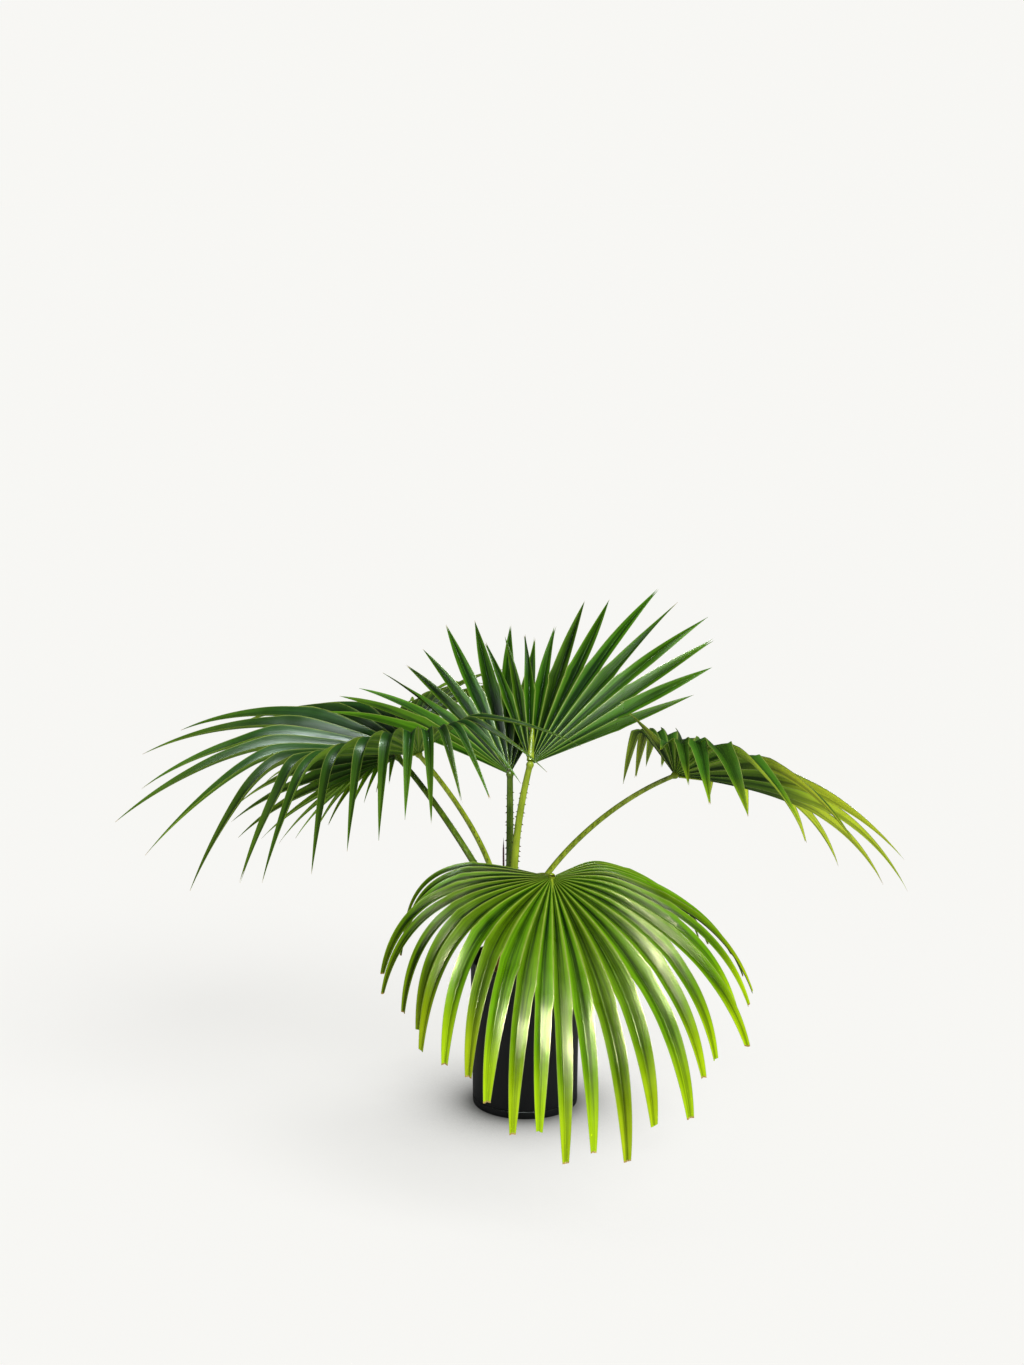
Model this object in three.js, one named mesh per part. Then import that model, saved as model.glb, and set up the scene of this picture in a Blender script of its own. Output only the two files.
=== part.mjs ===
// A young fan palm standing in its nursery pot: six fans on arching stalks over a short fibrous trunk.
// Millimetres, +Z up, +X to the right, -Y to the front. The origin is the middle of the pot's underside.
import * as THREE from 'three';

// ---- Driving dimensions ------------------------------------------------------------------------------

const GAP = 0.35; // clearance left between neighbouring solids
const UP = new THREE.Vector3(0, 0, 1);

const POT = {
  height: 300,
  footRadius: 104,
  rimRadius: 110,
  wall: 2.6,
  floor: 3,
  grooveHeight: 16,
  grooveDepth: 1.4,
  lipHeight: 13,
  lipOverhang: 2,
  segments: 48,
};

const SOIL = { level: 274, dip: 5, bump: 2.5, segments: 40, seed: 97 };

// The trunk stands on the soil: a flared swollen base that narrows to a flat cut under the stalks.
const TRUNK = {
  rings: [
    // height, radius, how far the middle has moved from the foot's middle to the head's (0 to 1)
    [0, 55, 0],
    [8, 57, 0.02],
    [26, 52, 0.2],
    [50, 46, 0.45],
    [75, 41, 0.7],
    [96, 38, 0.9],
    [106, 36, 1],
  ],
  foot: [-20, 0],
  head: [-26, 0],
  lobes: 9,
  lobeDepth: 0.05,
  segments: 36,
};

// The dead spear left between the stalks.
const SPEAR = { foot: [-43, -22], tip: [-42, -12, 548], radius: 3.2, sides: 8 };

const STALK = { width: [15, 10], thick: [10, 7], sides: 10, steps: 12 };

const BLADE = {
  hubRadius: 8, // every leaflet leaves the stalk's knuckle at this distance
  pleat: 0.34, // height of a ridge over the mean surface, as a part of the leaflet's half width
  midrib: 0.0105, // thickness at a midrib, as a part of the blade's longest reach
  ridge: 0.0075, // thickness at a ridge, likewise
  slack: 0.86, // width of a free leaflet against the room it has where it comes free
  curveSteps: 40,
  foldWidth: 0.08, // length over which a fold is spread, as a part of the leaflet's
  joined: [0, 0.2, 0.4, 0.6, 0.8, 1], // stations from the hub to where the leaflets part
  free: [0.15, 0.32, 0.5, 0.68, 0.85, 1], // stations from there to the tip
};

// One entry a fan. Angles are degrees; a list runs evenly from the fan's first edge to its last.
//   azimuth, pitch, roll: where the middle of the fan points, and how it is rolled about that line
//   fan:      first and last angle round the hub        reach: length of a leaflet from the hub
//   lift:     angle at which it leaves the fan's plane   droop: how much it bends down on its way
//   fold:     extra bend, all at fold_at of its length   split: where the leaflets come free
//   spread:   how far the leaflets at the sides bend outward and not only down
//   bow:      how much of the droop comes near the tip: the bend grows as this power of the way gone
//   stray:    factor on how far a free leaflet leans and twists away from its neighbours
//   taper, cut: how a free leaflet narrows, and the part of its width left at a blunt tip
//   sectors:  leaflets in each solid of the blade        stalk: foot, two pull points and the hub
const FANS = [
  {
    name: 'right',
    azimuth: 1, pitch: -18, roll: 12, spread: 0.7, bow: 1, stray: 1, fan: [-156, 146],
    reach: [285, 325, 470, 520, 450, 280, 200],
    lift: [36, 36, 20, 10, 24, 43, 29],
    droop: [0.6, 0.7, 0.85, 1.15, 0.85, 0.35, 0.05],
    fold: [2.3, 1.6, 0.9, 0.1, 0.45, 1.9, 0],
    fold_at: [0.42, 0.45, 0.51, 0.53, 0.47, 0.43, 0.45],
    split: [0.42, 0.42, 0.42, 0.44, 0.46, 0.45, 0.4],
    taper: 1.4, cut: 0, seed: 14, sectors: [5, 5, 5, 4],
    stalk: [[-6, -4], [25, -7, 480], [150, -18, 620], [289, -32, 680]],
  },
  {
    name: 'left_a',
    azimuth: 188, pitch: -10, roll: 5, spread: 0, bow: 1, stray: 1, fan: [-158, 112],
    reach: [370, 345, 440, 560, 595, 425, 190],
    lift: [34, 36, 35, 20, 18, 20, 12],
    droop: [0.45, 0.45, 0.7, 0.65, 0.6, 0.45, 0.3],
    fold: [0.7, 1.4, 1.9, 0.9, 0.2, 0.4, 0.4],
    fold_at: [0.35, 0.5, 0.56, 0.52, 0.46, 0.42, 0.4],
    split: [0.4, 0.4, 0.43, 0.47, 0.45, 0.42, 0.42],
    taper: 1.4, cut: 0, seed: 21, sectors: [6, 6, 6, 6],
    stalk: [[-46, -8], [-48, -10, 480], [-105, -30, 600], [-205, -60, 729]],
  },
  {
    name: 'left_b',
    azimuth: 150, pitch: -14, roll: 12, spread: 0, bow: 1, stray: 1, fan: [-125, 145],
    reach: [150, 205, 320, 465, 375, 345, 335],
    lift: [20, 9, -5, 3, 13, 28, 28],
    droop: [0.8, 0.8, 0.65, 0.6, 0.65, 0.7, 0.7],
    fold: [0.4, 0.4, 0, 0, 0.2, 0.4, 0.5],
    fold_at: [0.45],
    split: [0.45],
    taper: 1.4, cut: 0, seed: 61, sectors: [8, 8, 8],
    stalk: [[-46, 12], [-70, 18, 450], [-185, 92, 610], [-254, 150, 669]],
  },
  {
    name: 'up_left',
    azimuth: 90, pitch: 42, roll: -6, spread: 0, bow: 1, stray: 3, fan: [-90, 25],
    reach: [445, 330, 330, 380, 330],
    lift: [32, 20, 9, 2, -2],
    droop: [0.35, 0.4, 0.2, 0.1, 0.1],
    fold: [0],
    fold_at: [0.5],
    split: [0.5],
    taper: 1.6, cut: 0, seed: 599, sectors: [5, 6],
    stalk: [[-31, 14], [-30, 15, 480], [-30, 20, 580], [-30, 30, 665]],
  },
  {
    name: 'up_right',
    azimuth: 90, pitch: 43, roll: 4, spread: 0, bow: 1, stray: 4, fan: [-20, 76],
    reach: [300, 320, 440, 470, 335],
    lift: [8, 4, 6, 9, 13],
    droop: [0.1, 0.12, 0.18, 0.15, 0.05],
    fold: [0],
    fold_at: [0.5],
    split: [0.5],
    taper: 1.6, cut: 0, seed: 184, sectors: [6, 6],
    stalk: [[-22, -6], [-28, -6, 480], [-14, -4, 600], [9, 0, 692]],
  },
  {
    name: 'front',
    azimuth: -82, pitch: -8, roll: 16, spread: 0, bow: 1.8, stray: 1, fan: [-100, 96],
    reach: [350, 450, 535, 598, 548, 430, 330],
    lift: [36, 26, 4, -13, -4, -7, -2],
    droop: [1.3, 1.3, 1.9, 2.5, 2.6, 2.6, 2.4],
    fold: [0.7, 0.45, 0.1, 0, 0, 0, 0],
    fold_at: [0.22],
    split: [0.4, 0.45, 0.5, 0.54, 0.5, 0.45, 0.4],
    taper: 2.2, cut: 0.36, seed: 33, sectors: [7, 7, 7, 7],
    stalk: [[-25, -27], [-20, -80, 470], [20, -190, 540], [47, -290, 553]],
  },
];

// How far a free leaflet strays from the fan's own rule, in either direction.
const JITTER = { length: 0.05, droop: 0.2, side: 0.06, twist: 0.3 };

const COLORS = {
  pot: 0x17181a,
  soil: 0x3a2a1e,
  trunk: 0x9a6a34,
  spear: 0x3a2230,
  stalk: 0x86a83c,
  blade: 0x3f7a12,
};

// ---- Small helpers -----------------------------------------------------------------------------------

const rad = THREE.MathUtils.degToRad;
const vec = (x, y, z) => new THREE.Vector3(x, y, z);
const cross = (a, b) => new THREE.Vector3().crossVectors(a, b);
const along = (p, d, s) => p.clone().addScaledVector(d, s);

/** The part of v square to the unit vector d, made unit length. */
function squared(v, d) {
  return v.clone().addScaledVector(d, -v.dot(d)).normalize();
}

/** Park-Miller generator: the same seed always gives the same leaflets. */
class Random {
  constructor(seed) {
    this.state = seed;
    for (let i = 0; i < 3; i += 1) this.next();
  }

  next() {
    this.state = (this.state * 48271) % 2147483647;
    return this.state / 2147483647;
  }

  spread(amount) {
    return (this.next() * 2 - 1) * amount;
  }
}

/** Vertices and triangles of one closed body. */
class Shell {
  constructor() {
    this.positions = [];
    this.faces = [];
  }

  point(p) {
    this.positions.push(p.x, p.y, p.z);
    return this.positions.length / 3 - 1;
  }

  tri(a, b, c) {
    this.faces.push(a, b, c);
  }

  quad(a, b, c, d) {
    this.faces.push(a, b, c, a, c, d);
  }

  mesh(name, color) {
    const geometry = new THREE.BufferGeometry();
    geometry.setAttribute('position', new THREE.Float32BufferAttribute(this.positions, 3));
    geometry.setIndex(this.faces);
    geometry.computeVertexNormals();
    const mesh = new THREE.Mesh(geometry, new THREE.MeshStandardMaterial({ color, roughness: 0.6 }));
    mesh.name = name;
    return mesh;
  }
}

/** A skin through rings of points, each counter-clockwise seen from ahead. A ring of one point is a pole. */
function loft(name, color, rings) {
  const shell = new Shell();
  const ids = rings.map((ring) => ring.map((p) => shell.point(p)));
  for (let i = 0; i + 1 < ids.length; i += 1) {
    const [a, b] = [ids[i], ids[i + 1]];
    const n = Math.max(a.length, b.length);
    for (let j = 0; j < n; j += 1) {
      const k = (j + 1) % n;
      if (a.length === 1) shell.tri(a[0], b[k], b[j]);
      else if (b.length === 1) shell.tri(a[j], a[k], b[0]);
      else shell.quad(a[j], a[k], b[k], b[j]);
    }
  }
  return shell.mesh(name, color);
}

/** A level circle of points; `shape` gives the factor on the radius for each angle. */
function circle(x, y, z, radius, segments, shape = () => 1) {
  return Array.from({ length: segments }, (_, i) => {
    const a = (2 * Math.PI * i) / segments;
    const r = radius * shape(a);
    return vec(x + r * Math.cos(a), y + r * Math.sin(a), z);
  });
}

// ---- Pot, soil, trunk --------------------------------------------------------------------------------

/** Outer radius of the pot's wall at a height. */
function potRadius(z) {
  return POT.footRadius + ((POT.rimRadius - POT.lipOverhang - POT.footRadius) * z) / POT.height;
}

function buildPot() {
  const { height, wall, floor, grooveHeight: g, grooveDepth, lipHeight, rimRadius, segments } = POT;
  const lipFoot = height - lipHeight;
  const profile = [
    [potRadius(0) - 3, 0],
    [potRadius(2.5), 2.5],
    [potRadius(g) + 0.4, g - 2],
    [potRadius(g) - grooveDepth, g],
    [potRadius(g) - grooveDepth, g + 2],
    [potRadius(g + 4), g + 4],
    [potRadius(lipFoot), lipFoot],
    [rimRadius, lipFoot + 1.5],
    [rimRadius, height - 2],
    [rimRadius - 1.5, height],
    [rimRadius - 4, height],
    [potRadius(height) - wall, height - 3],
    [potRadius(floor) - wall, floor],
  ];
  const rings = profile.map(([r, z]) => circle(0, 0, z, r, segments));
  return loft('pot', COLORS.pot, [[vec(0, 0, 0)], ...rings, [vec(0, 0, floor)]]);
}

function buildSoil() {
  const { level, dip, bump, segments, seed } = SOIL;
  const bottom = POT.floor + GAP;
  const clear = POT.wall + GAP;
  const random = new Random(seed);
  const rough = (radius, z) =>
    circle(0, 0, z, radius, segments).map((p) => along(p, UP, random.spread(bump)));
  return loft('soil', COLORS.soil, [
    [vec(0, 0, bottom)],
    circle(0, 0, bottom, potRadius(bottom) - clear, segments),
    circle(0, 0, level - dip, potRadius(level - dip) - clear, segments),
    rough(100, level - dip + 1),
    rough(91, level - dip),
    circle(0, 0, level, 80, segments),
    [vec(0, 0, level)],
  ]);
}

/** Height of the trunk's flat cut, on which the stalks stand. */
const TRUNK_TOP = SOIL.level + GAP + TRUNK.rings.at(-1)[0];

function buildTrunk() {
  const { foot, head, lobes, lobeDepth, segments } = TRUNK;
  const base = SOIL.level + GAP;
  const rings = TRUNK.rings.map(([h, radius, shift]) => {
    const x = THREE.MathUtils.lerp(foot[0], head[0], shift);
    const y = THREE.MathUtils.lerp(foot[1], head[1], shift);
    const lobe = (a) => 1 + lobeDepth * Math.cos(lobes * a + h / 30);
    return circle(x, y, base + h, radius, segments, lobe);
  });
  return loft('trunk', COLORS.trunk, [[vec(...foot, base)], ...rings, [vec(...head, TRUNK_TOP)]]);
}

function buildSpear() {
  const { foot, tip, radius, sides } = SPEAR;
  const rings = [0, 0.5, 0.85].map((t) =>
    circle(
      THREE.MathUtils.lerp(foot[0], tip[0], t),
      THREE.MathUtils.lerp(foot[1], tip[1], t),
      THREE.MathUtils.lerp(TRUNK_TOP + GAP, tip[2], t),
      radius * (1 - 0.6 * t),
      sides,
    ),
  );
  return loft('dead_spear', COLORS.spear, [[vec(...foot, TRUNK_TOP + GAP)], ...rings, [vec(...tip)]]);
}

// ---- Fans --------------------------------------------------------------------------------------------

/** A fan's own axes: `ahead` is the middle of the fan, `side` grows with the fan angle, `face` is up. */
function fanAxes(fan) {
  const [azimuth, pitch, roll] = [rad(fan.azimuth), rad(fan.pitch), rad(fan.roll)];
  const ahead = vec(
    Math.cos(pitch) * Math.cos(azimuth),
    Math.cos(pitch) * Math.sin(azimuth),
    Math.sin(pitch),
  );
  const level = cross(ahead, UP).normalize();
  const face = cross(level, ahead);
  const side = level.clone().multiplyScalar(Math.cos(roll)).addScaledVector(face, Math.sin(roll));
  return { ahead, side, face: cross(side, ahead) };
}

/** A fan's value at one fan angle: a smooth curve through its list, spread evenly over the fan. */
function across(fan, key, theta) {
  const list = fan[key];
  const last = list.length - 1;
  if (last === 0) return list[0];
  const x = (last * (theta - fan.fan[0])) / (fan.fan[1] - fan.fan[0]);
  const i = Math.min(Math.max(Math.floor(x), 0), last - 1);
  const t = x - i;
  const [a, b, c, d] = [-1, 0, 1, 2].map((k) => list[Math.min(Math.max(i + k, 0), last)]);
  const rise = c - a;
  const turn = 2 * a - 5 * b + 4 * c - d;
  const twist = 3 * b - a - 3 * c + d;
  return 0.5 * (2 * b + rise * t + turn * t * t + twist * t * t * t);
}

/** The line that leaves the hub at a fan angle, as a function of the part of its length gone. */
function ray(fan, axes, hub, theta, loose = { length: 0, droop: 0, side: 0 }) {
  const length = across(fan, 'reach', theta) * (1 + loose.length);
  const lift = rad(across(fan, 'lift', theta));
  const droop = across(fan, 'droop', theta);
  const fold = across(fan, 'fold', theta);
  const foldAt = across(fan, 'fold_at', theta);
  const split = across(fan, 'split', theta);
  const flat = axes.ahead.clone().multiplyScalar(Math.cos(rad(theta)));
  flat.addScaledVector(axes.side, Math.sin(rad(theta)));
  const dir = flat.multiplyScalar(Math.cos(lift)).addScaledVector(axes.face, Math.sin(lift)).normalize();
  const outward = cross(axes.ahead, UP).normalize().multiplyScalar(fan.spread * Math.sin(rad(theta)));
  const pull = outward.sub(UP).normalize();
  const points = [along(hub, dir, BLADE.hubRadius)];
  const dirs = [dir.clone()];
  const steps = BLADE.curveSteps;
  const part = (length - BLADE.hubRadius) / steps / length;
  for (let i = 0; i < steps; i += 1) {
    const u = (i + 0.5) / steps;
    const bell = Math.exp(-(((u - foldAt) / BLADE.foldWidth) ** 2)) / (BLADE.foldWidth * Math.sqrt(Math.PI));
    const free = u > split;
    const bow = droop * (1 + fan.bow) * u ** fan.bow;
    const bend = (bow + fold * bell) * (free ? 1 + loose.droop : 1);
    const sideways = cross(UP, dir).normalize();
    const down = pull.clone().addScaledVector(dir, -pull.dot(dir));
    dir.addScaledVector(down, bend * part).addScaledVector(sideways, free ? loose.side * part : 0);
    dir.normalize();
    points.push(along(points.at(-1), dir, part * length));
    dirs.push(dir.clone());
  }
  const pick = (list, u) => {
    const x = Math.min(u * steps, steps - 1e-9);
    return list[Math.floor(x)].clone().lerp(list[Math.floor(x) + 1], x - Math.floor(x));
  };
  return { split, at: (u) => pick(points, u), dir: (u) => pick(dirs, u).normalize() };
}

/** Thickness along a leaflet as a part of its greatest: thin in the hub, full soon after, half at the tip. */
function fullness(gone) {
  const thickens = Math.min(1, 0.35 + 3 * gone);
  const thins = Math.max(0, gone - 0.6) / 0.4;
  return thickens * (1 - 0.5 * thins);
}

/** One solid of a blade: the leaflets from `first` up to but not including `last`. */
function buildSector(fan, lines, first, last) {
  const shell = new Shell();
  const longest = Math.max(...fan.reach);
  const joined = BLADE.joined.length - 1;
  const pair = (p, face, thick) => [
    shell.point(along(p, face, thick / 2)),
    shell.point(along(p, face, -thick / 2)),
  ];

  // Columns of the joined part: a ridge at each parting line and a midrib between two of them.
  const columns = [];
  for (let c = 2 * first; c <= 2 * last; c += 1) {
    const line = lines[c];
    const isRidge = c % 2 === 0;
    const inset = c === 2 * first ? GAP / 2 : c === 2 * last ? -GAP / 2 : 0;
    columns.push(
      BLADE.joined.map((share) => {
        const u = share * line.split;
        const before = lines[Math.max(0, c - 1)].at(share * lines[Math.max(0, c - 1)].split);
        const afterLine = lines[Math.min(lines.length - 1, c + 1)];
        const after = afterLine.at(share * afterLine.split);
        const over = squared(after.clone().sub(before), line.dir(u));
        const face = cross(over, line.dir(u));
        const half = before.distanceTo(after) / 2;
        const height = BLADE.pleat * half * (isRidge ? 1 : -1);
        const thick = longest * (isRidge ? BLADE.ridge : BLADE.midrib) * fullness(u);
        return pair(along(along(line.at(u), over, inset), face, height), face, thick);
      }),
    );
  }
  const top = (c, k) => columns[c][k][0];
  const under = (c, k) => columns[c][k][1];
  const lastColumn = columns.length - 1;
  for (let c = 0; c < lastColumn; c += 1) {
    shell.quad(top(c, 0), under(c, 0), under(c + 1, 0), top(c + 1, 0));
    for (let k = 0; k < joined; k += 1) {
      shell.quad(top(c, k), top(c + 1, k), top(c + 1, k + 1), top(c, k + 1));
      shell.quad(under(c, k), under(c, k + 1), under(c + 1, k + 1), under(c + 1, k));
    }
  }
  for (let k = 0; k < joined; k += 1) {
    shell.quad(top(0, k), top(0, k + 1), under(0, k + 1), under(0, k));
    shell.quad(top(lastColumn, k), under(lastColumn, k), under(lastColumn, k + 1), top(lastColumn, k + 1));
  }

  // Free leaflets: a shallow V with sharp edges that starts on three columns of the joined part.
  for (let i = first; i < last; i += 1) {
    const { line, twist, room } = fan.leaflets[i];
    const c = 2 * (i - first);
    const [left, rib, right] = [columns[c][joined], columns[c + 1][joined], columns[c + 2][joined]];
    let over = fan.leaflets[i].over.clone();
    let previous = { left: left[0], right: right[0], top: rib[0], under: rib[1] };
    let previousLow = { left: left[1], right: right[1] };
    BLADE.free.forEach((share, step) => {
      const u = line.split + (1 - line.split) * share;
      const dir = line.dir(u);
      over = squared(over, dir);
      const face = cross(over, dir);
      const turned = over.clone().multiplyScalar(Math.cos(twist * share));
      turned.addScaledVector(face, Math.sin(twist * share));
      const facing = cross(turned, dir);
      const half = room * BLADE.slack * (1 - share ** fan.taper * (1 - fan.cut));
      const isTip = step === BLADE.free.length - 1;
      const p = line.at(u);
      const height = BLADE.pleat * half;
      let next;
      if (isTip && fan.cut === 0) {
        const tip = shell.point(p);
        next = { left: tip, right: tip, top: tip, under: tip };
      } else {
        const [ribTop, ribUnder] = pair(
          along(p, facing, -height),
          facing,
          longest * BLADE.midrib * fullness(u),
        );
        next = {
          left: shell.point(along(along(p, turned, -half), facing, height)),
          right: shell.point(along(along(p, turned, half), facing, height)),
          top: ribTop,
          under: ribUnder,
        };
      }
      skinLeaflet(shell, previous, previousLow, next);
      previous = next;
      previousLow = { left: next.left, right: next.right };
      if (isTip && fan.cut > 0) {
        shell.tri(next.left, next.top, next.under);
        shell.tri(next.top, next.right, next.under);
      }
    });
  }
  return shell;
}

/** Faces between two cross-sections of a free leaflet; `low` holds the first one's lower edge points. */
function skinLeaflet(shell, a, low, b) {
  const strip = (p, q, r, s) => {
    if (r === s) shell.tri(p, q, r);
    else shell.quad(p, q, r, s);
  };
  strip(a.left, a.top, b.top, b.left);
  strip(a.top, a.right, b.right, b.top);
  strip(a.under, low.left, b.left, b.under);
  strip(low.right, a.under, b.under, b.right);
  if (low.left !== a.left) {
    shell.tri(a.left, b.left, low.left);
    shell.tri(a.right, low.right, b.right);
  }
}

/** The leaflets of a fan: each one's own loose line, its twist, and the room it has where it parts. */
function placeLeaflets(fan, axes, hub, lines) {
  const random = new Random(fan.seed);
  const count = (lines.length - 1) / 2;
  return Array.from({ length: count }, (_, i) => {
    const loose = {
      length: random.spread(JITTER.length),
      droop: random.spread(JITTER.droop),
      side: random.spread(JITTER.side) * fan.stray,
    };
    const twist = random.spread(JITTER.twist) * fan.stray;
    const theta = fan.fan[0] + ((i + 0.5) * (fan.fan[1] - fan.fan[0])) / count;
    const line = ray(fan, axes, hub, theta, loose);
    const left = lines[2 * i].at(lines[2 * i].split);
    const right = lines[2 * i + 2].at(lines[2 * i + 2].split);
    const over = right.clone().sub(left).normalize();
    return { line, twist, over, room: left.distanceTo(right) / 2 };
  });
}

function buildBlade(fan, axes, hub) {
  const count = fan.sectors.reduce((sum, n) => sum + n, 0);
  const lines = Array.from({ length: 2 * count + 1 }, (_, c) =>
    ray(fan, axes, hub, fan.fan[0] + (c * (fan.fan[1] - fan.fan[0])) / (2 * count)),
  );
  const withLeaflets = { ...fan, leaflets: placeLeaflets(fan, axes, hub, lines) };
  let first = 0;
  return fan.sectors.map((n, s) => {
    const shell = buildSector(withLeaflets, lines, first, first + n);
    first += n;
    return shell.mesh(`blade_${fan.name}_${s + 1}`, COLORS.blade);
  });
}

/** A stalk: a flat cut on the trunk, a flattened section that thins, and a round knuckle in the hub. */
function buildStalk(fan, axes, hub) {
  const [foot, pullA, pullB] = fan.stalk;
  const path = new THREE.CubicBezierCurve3(
    vec(...foot, TRUNK_TOP + GAP),
    vec(...pullA),
    vec(...pullB),
    hub,
  );
  const knuckle = BLADE.hubRadius - GAP;
  const end = 1 - knuckle / path.getLength();
  const section = (p, dir, halfWidth, halfThick) => {
    const over = squared(axes.side, dir);
    const face = cross(over, dir);
    return Array.from({ length: STALK.sides }, (_, i) => {
      const a = (-2 * Math.PI * i) / STALK.sides;
      return along(along(p, over, halfWidth * Math.cos(a)), face, halfThick * Math.sin(a));
    });
  };
  const rings = [];
  for (let i = 0; i <= STALK.steps; i += 1) {
    const t = (end * i) / STALK.steps;
    const k = i / STALK.steps;
    const width = THREE.MathUtils.lerp(...STALK.width, k);
    const thick = THREE.MathUtils.lerp(...STALK.thick, k);
    const ring = section(path.getPointAt(t), path.getTangentAt(t), width / 2, thick / 2);
    if (i === 0) {
      const dir = path.getTangentAt(0);
      ring.forEach((p) => p.addScaledVector(dir, (TRUNK_TOP + GAP - p.z) / dir.z));
    }
    rings.push(ring);
  }
  const dir = path.getTangentAt(1);
  [-0.5, 0, 0.5, 0.85].forEach((s) => {
    const r = knuckle * Math.sqrt(1 - s * s);
    rings.push(section(along(hub, dir, s * knuckle), dir, r, r));
  });
  const start = path.getPointAt(0);
  return loft(`stalk_${fan.name}`, COLORS.stalk, [[start], ...rings, [along(hub, dir, knuckle)]]);
}

function buildFan(fan) {
  const axes = fanAxes(fan);
  const hub = vec(...fan.stalk[3]);
  return [buildStalk(fan, axes, hub), ...buildBlade(fan, axes, hub)];
}

// ---- The plant ---------------------------------------------------------------------------------------

const group = new THREE.Group();
group.name = 'fan_palm_in_pot';
group.add(buildPot(), buildSoil(), buildTrunk(), buildSpear());
FANS.forEach((fan) => group.add(...buildFan(fan)));

export default group;
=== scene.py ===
"""A young fan palm in its nursery pot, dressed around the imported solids.

Sizes are millimetres, turned into metres as each mesh is made, and only the lamps stand in metres. The fans
follow the same rule as the solids: lines leave the stalk's knuckle at even fan angles and bend down on their
way. Here each leaflet of that rule gets its fold, midrib, margins, veins and tip.
"""
import logging
import math
from dataclasses import dataclass, field
from enum import Enum

import bpy
import numpy as np
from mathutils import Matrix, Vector, noise


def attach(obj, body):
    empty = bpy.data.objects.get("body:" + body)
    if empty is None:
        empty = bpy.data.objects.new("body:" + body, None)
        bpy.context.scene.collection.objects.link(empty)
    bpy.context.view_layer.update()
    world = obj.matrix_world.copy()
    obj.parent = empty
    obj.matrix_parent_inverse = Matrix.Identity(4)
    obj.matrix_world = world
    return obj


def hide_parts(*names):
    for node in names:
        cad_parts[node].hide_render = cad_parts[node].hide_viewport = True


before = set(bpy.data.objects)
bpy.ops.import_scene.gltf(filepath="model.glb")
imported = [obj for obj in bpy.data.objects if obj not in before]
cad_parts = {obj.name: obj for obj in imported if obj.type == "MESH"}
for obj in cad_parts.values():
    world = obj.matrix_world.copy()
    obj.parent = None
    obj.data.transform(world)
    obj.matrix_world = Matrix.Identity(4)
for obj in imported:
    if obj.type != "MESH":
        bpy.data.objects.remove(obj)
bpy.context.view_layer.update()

MM = 0.001
GAP = 0.35  # clear space between pieces that stand on each other
TURN = 2 * math.pi
UP = np.array([0.0, 0.0, 1.0])
Colour = tuple[float, float, float]
Spot = tuple[float, float, float]
log = logging.getLogger("fan_palm")


# ---- Helpers -------------------------------------------------------------------------------------------


def unit(v: np.ndarray) -> np.ndarray:
    """Vectors along the last axis, made unit length."""
    return v / np.maximum(np.linalg.norm(v, axis=-1, keepdims=True), 1e-12)


def squared(v: np.ndarray, d: np.ndarray) -> np.ndarray:
    """The part of v square to the unit vectors d, made unit length."""
    return unit(v - (v * d).sum(-1, keepdims=True) * d)


def smooth(x: np.ndarray | float) -> np.ndarray:
    """A soft step from 0 to 1 as x goes from 0 to 1."""
    t = np.clip(x, 0.0, 1.0)
    return t * t * (3 - 2 * t)


def circle(count: int) -> np.ndarray:
    """Angles at even steps once round."""
    return TURN * np.arange(count) / count


def outward(angle: np.ndarray) -> np.ndarray:
    """Level unit vectors at some angles."""
    return np.stack([np.cos(angle), np.sin(angle), 0 * angle], -1)


def swept(line: np.ndarray, over: np.ndarray, face: np.ndarray, x: np.ndarray, y: np.ndarray) -> np.ndarray:
    """Sections swept along a line.

    Args:
        line: the middle of each section.
        over: where each section's x points.
        face: where each section's y points.
        x: the sections' x, (sections, points).
        y: the sections' y, (sections, points).

    Returns:
        The sections' points, (sections, points, 3).
    """
    return line[:, None] + over[:, None] * x[..., None] + face[:, None] * y[..., None]


def srgb(code: int) -> Colour:
    """The linear colour of a screen colour code.

    Args:
        code: the colour as 0xRRGGBB.

    Returns:
        Red, green and blue as linear light.
    """
    parts = [((code >> shift) & 255) / 255 for shift in (16, 8, 0)]
    return tuple(p / 12.92 if p <= 0.04045 else ((p + 0.055) / 1.055) ** 2.4 for p in parts)


class Random:
    """Park-Miller generator: the same seed always gives the same leaflets."""

    def __init__(self, seed: int) -> None:
        """Starts the row of numbers and drops the first three, which follow the seed too closely.

        Args:
            seed: where the row starts.
        """
        self.state = seed
        for _ in range(3):
            self.next()

    def next(self) -> float:
        """The next number from 0 to 1."""
        self.state = self.state * 48271 % 2147483647
        return self.state / 2147483647

    def spread(self, amount: float) -> float:
        """The next number from -amount to amount."""
        return (self.next() * 2 - 1) * amount

    def between(self, low: float, high: float) -> float:
        """The next number from low to high."""
        return low + (high - low) * self.next()


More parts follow.
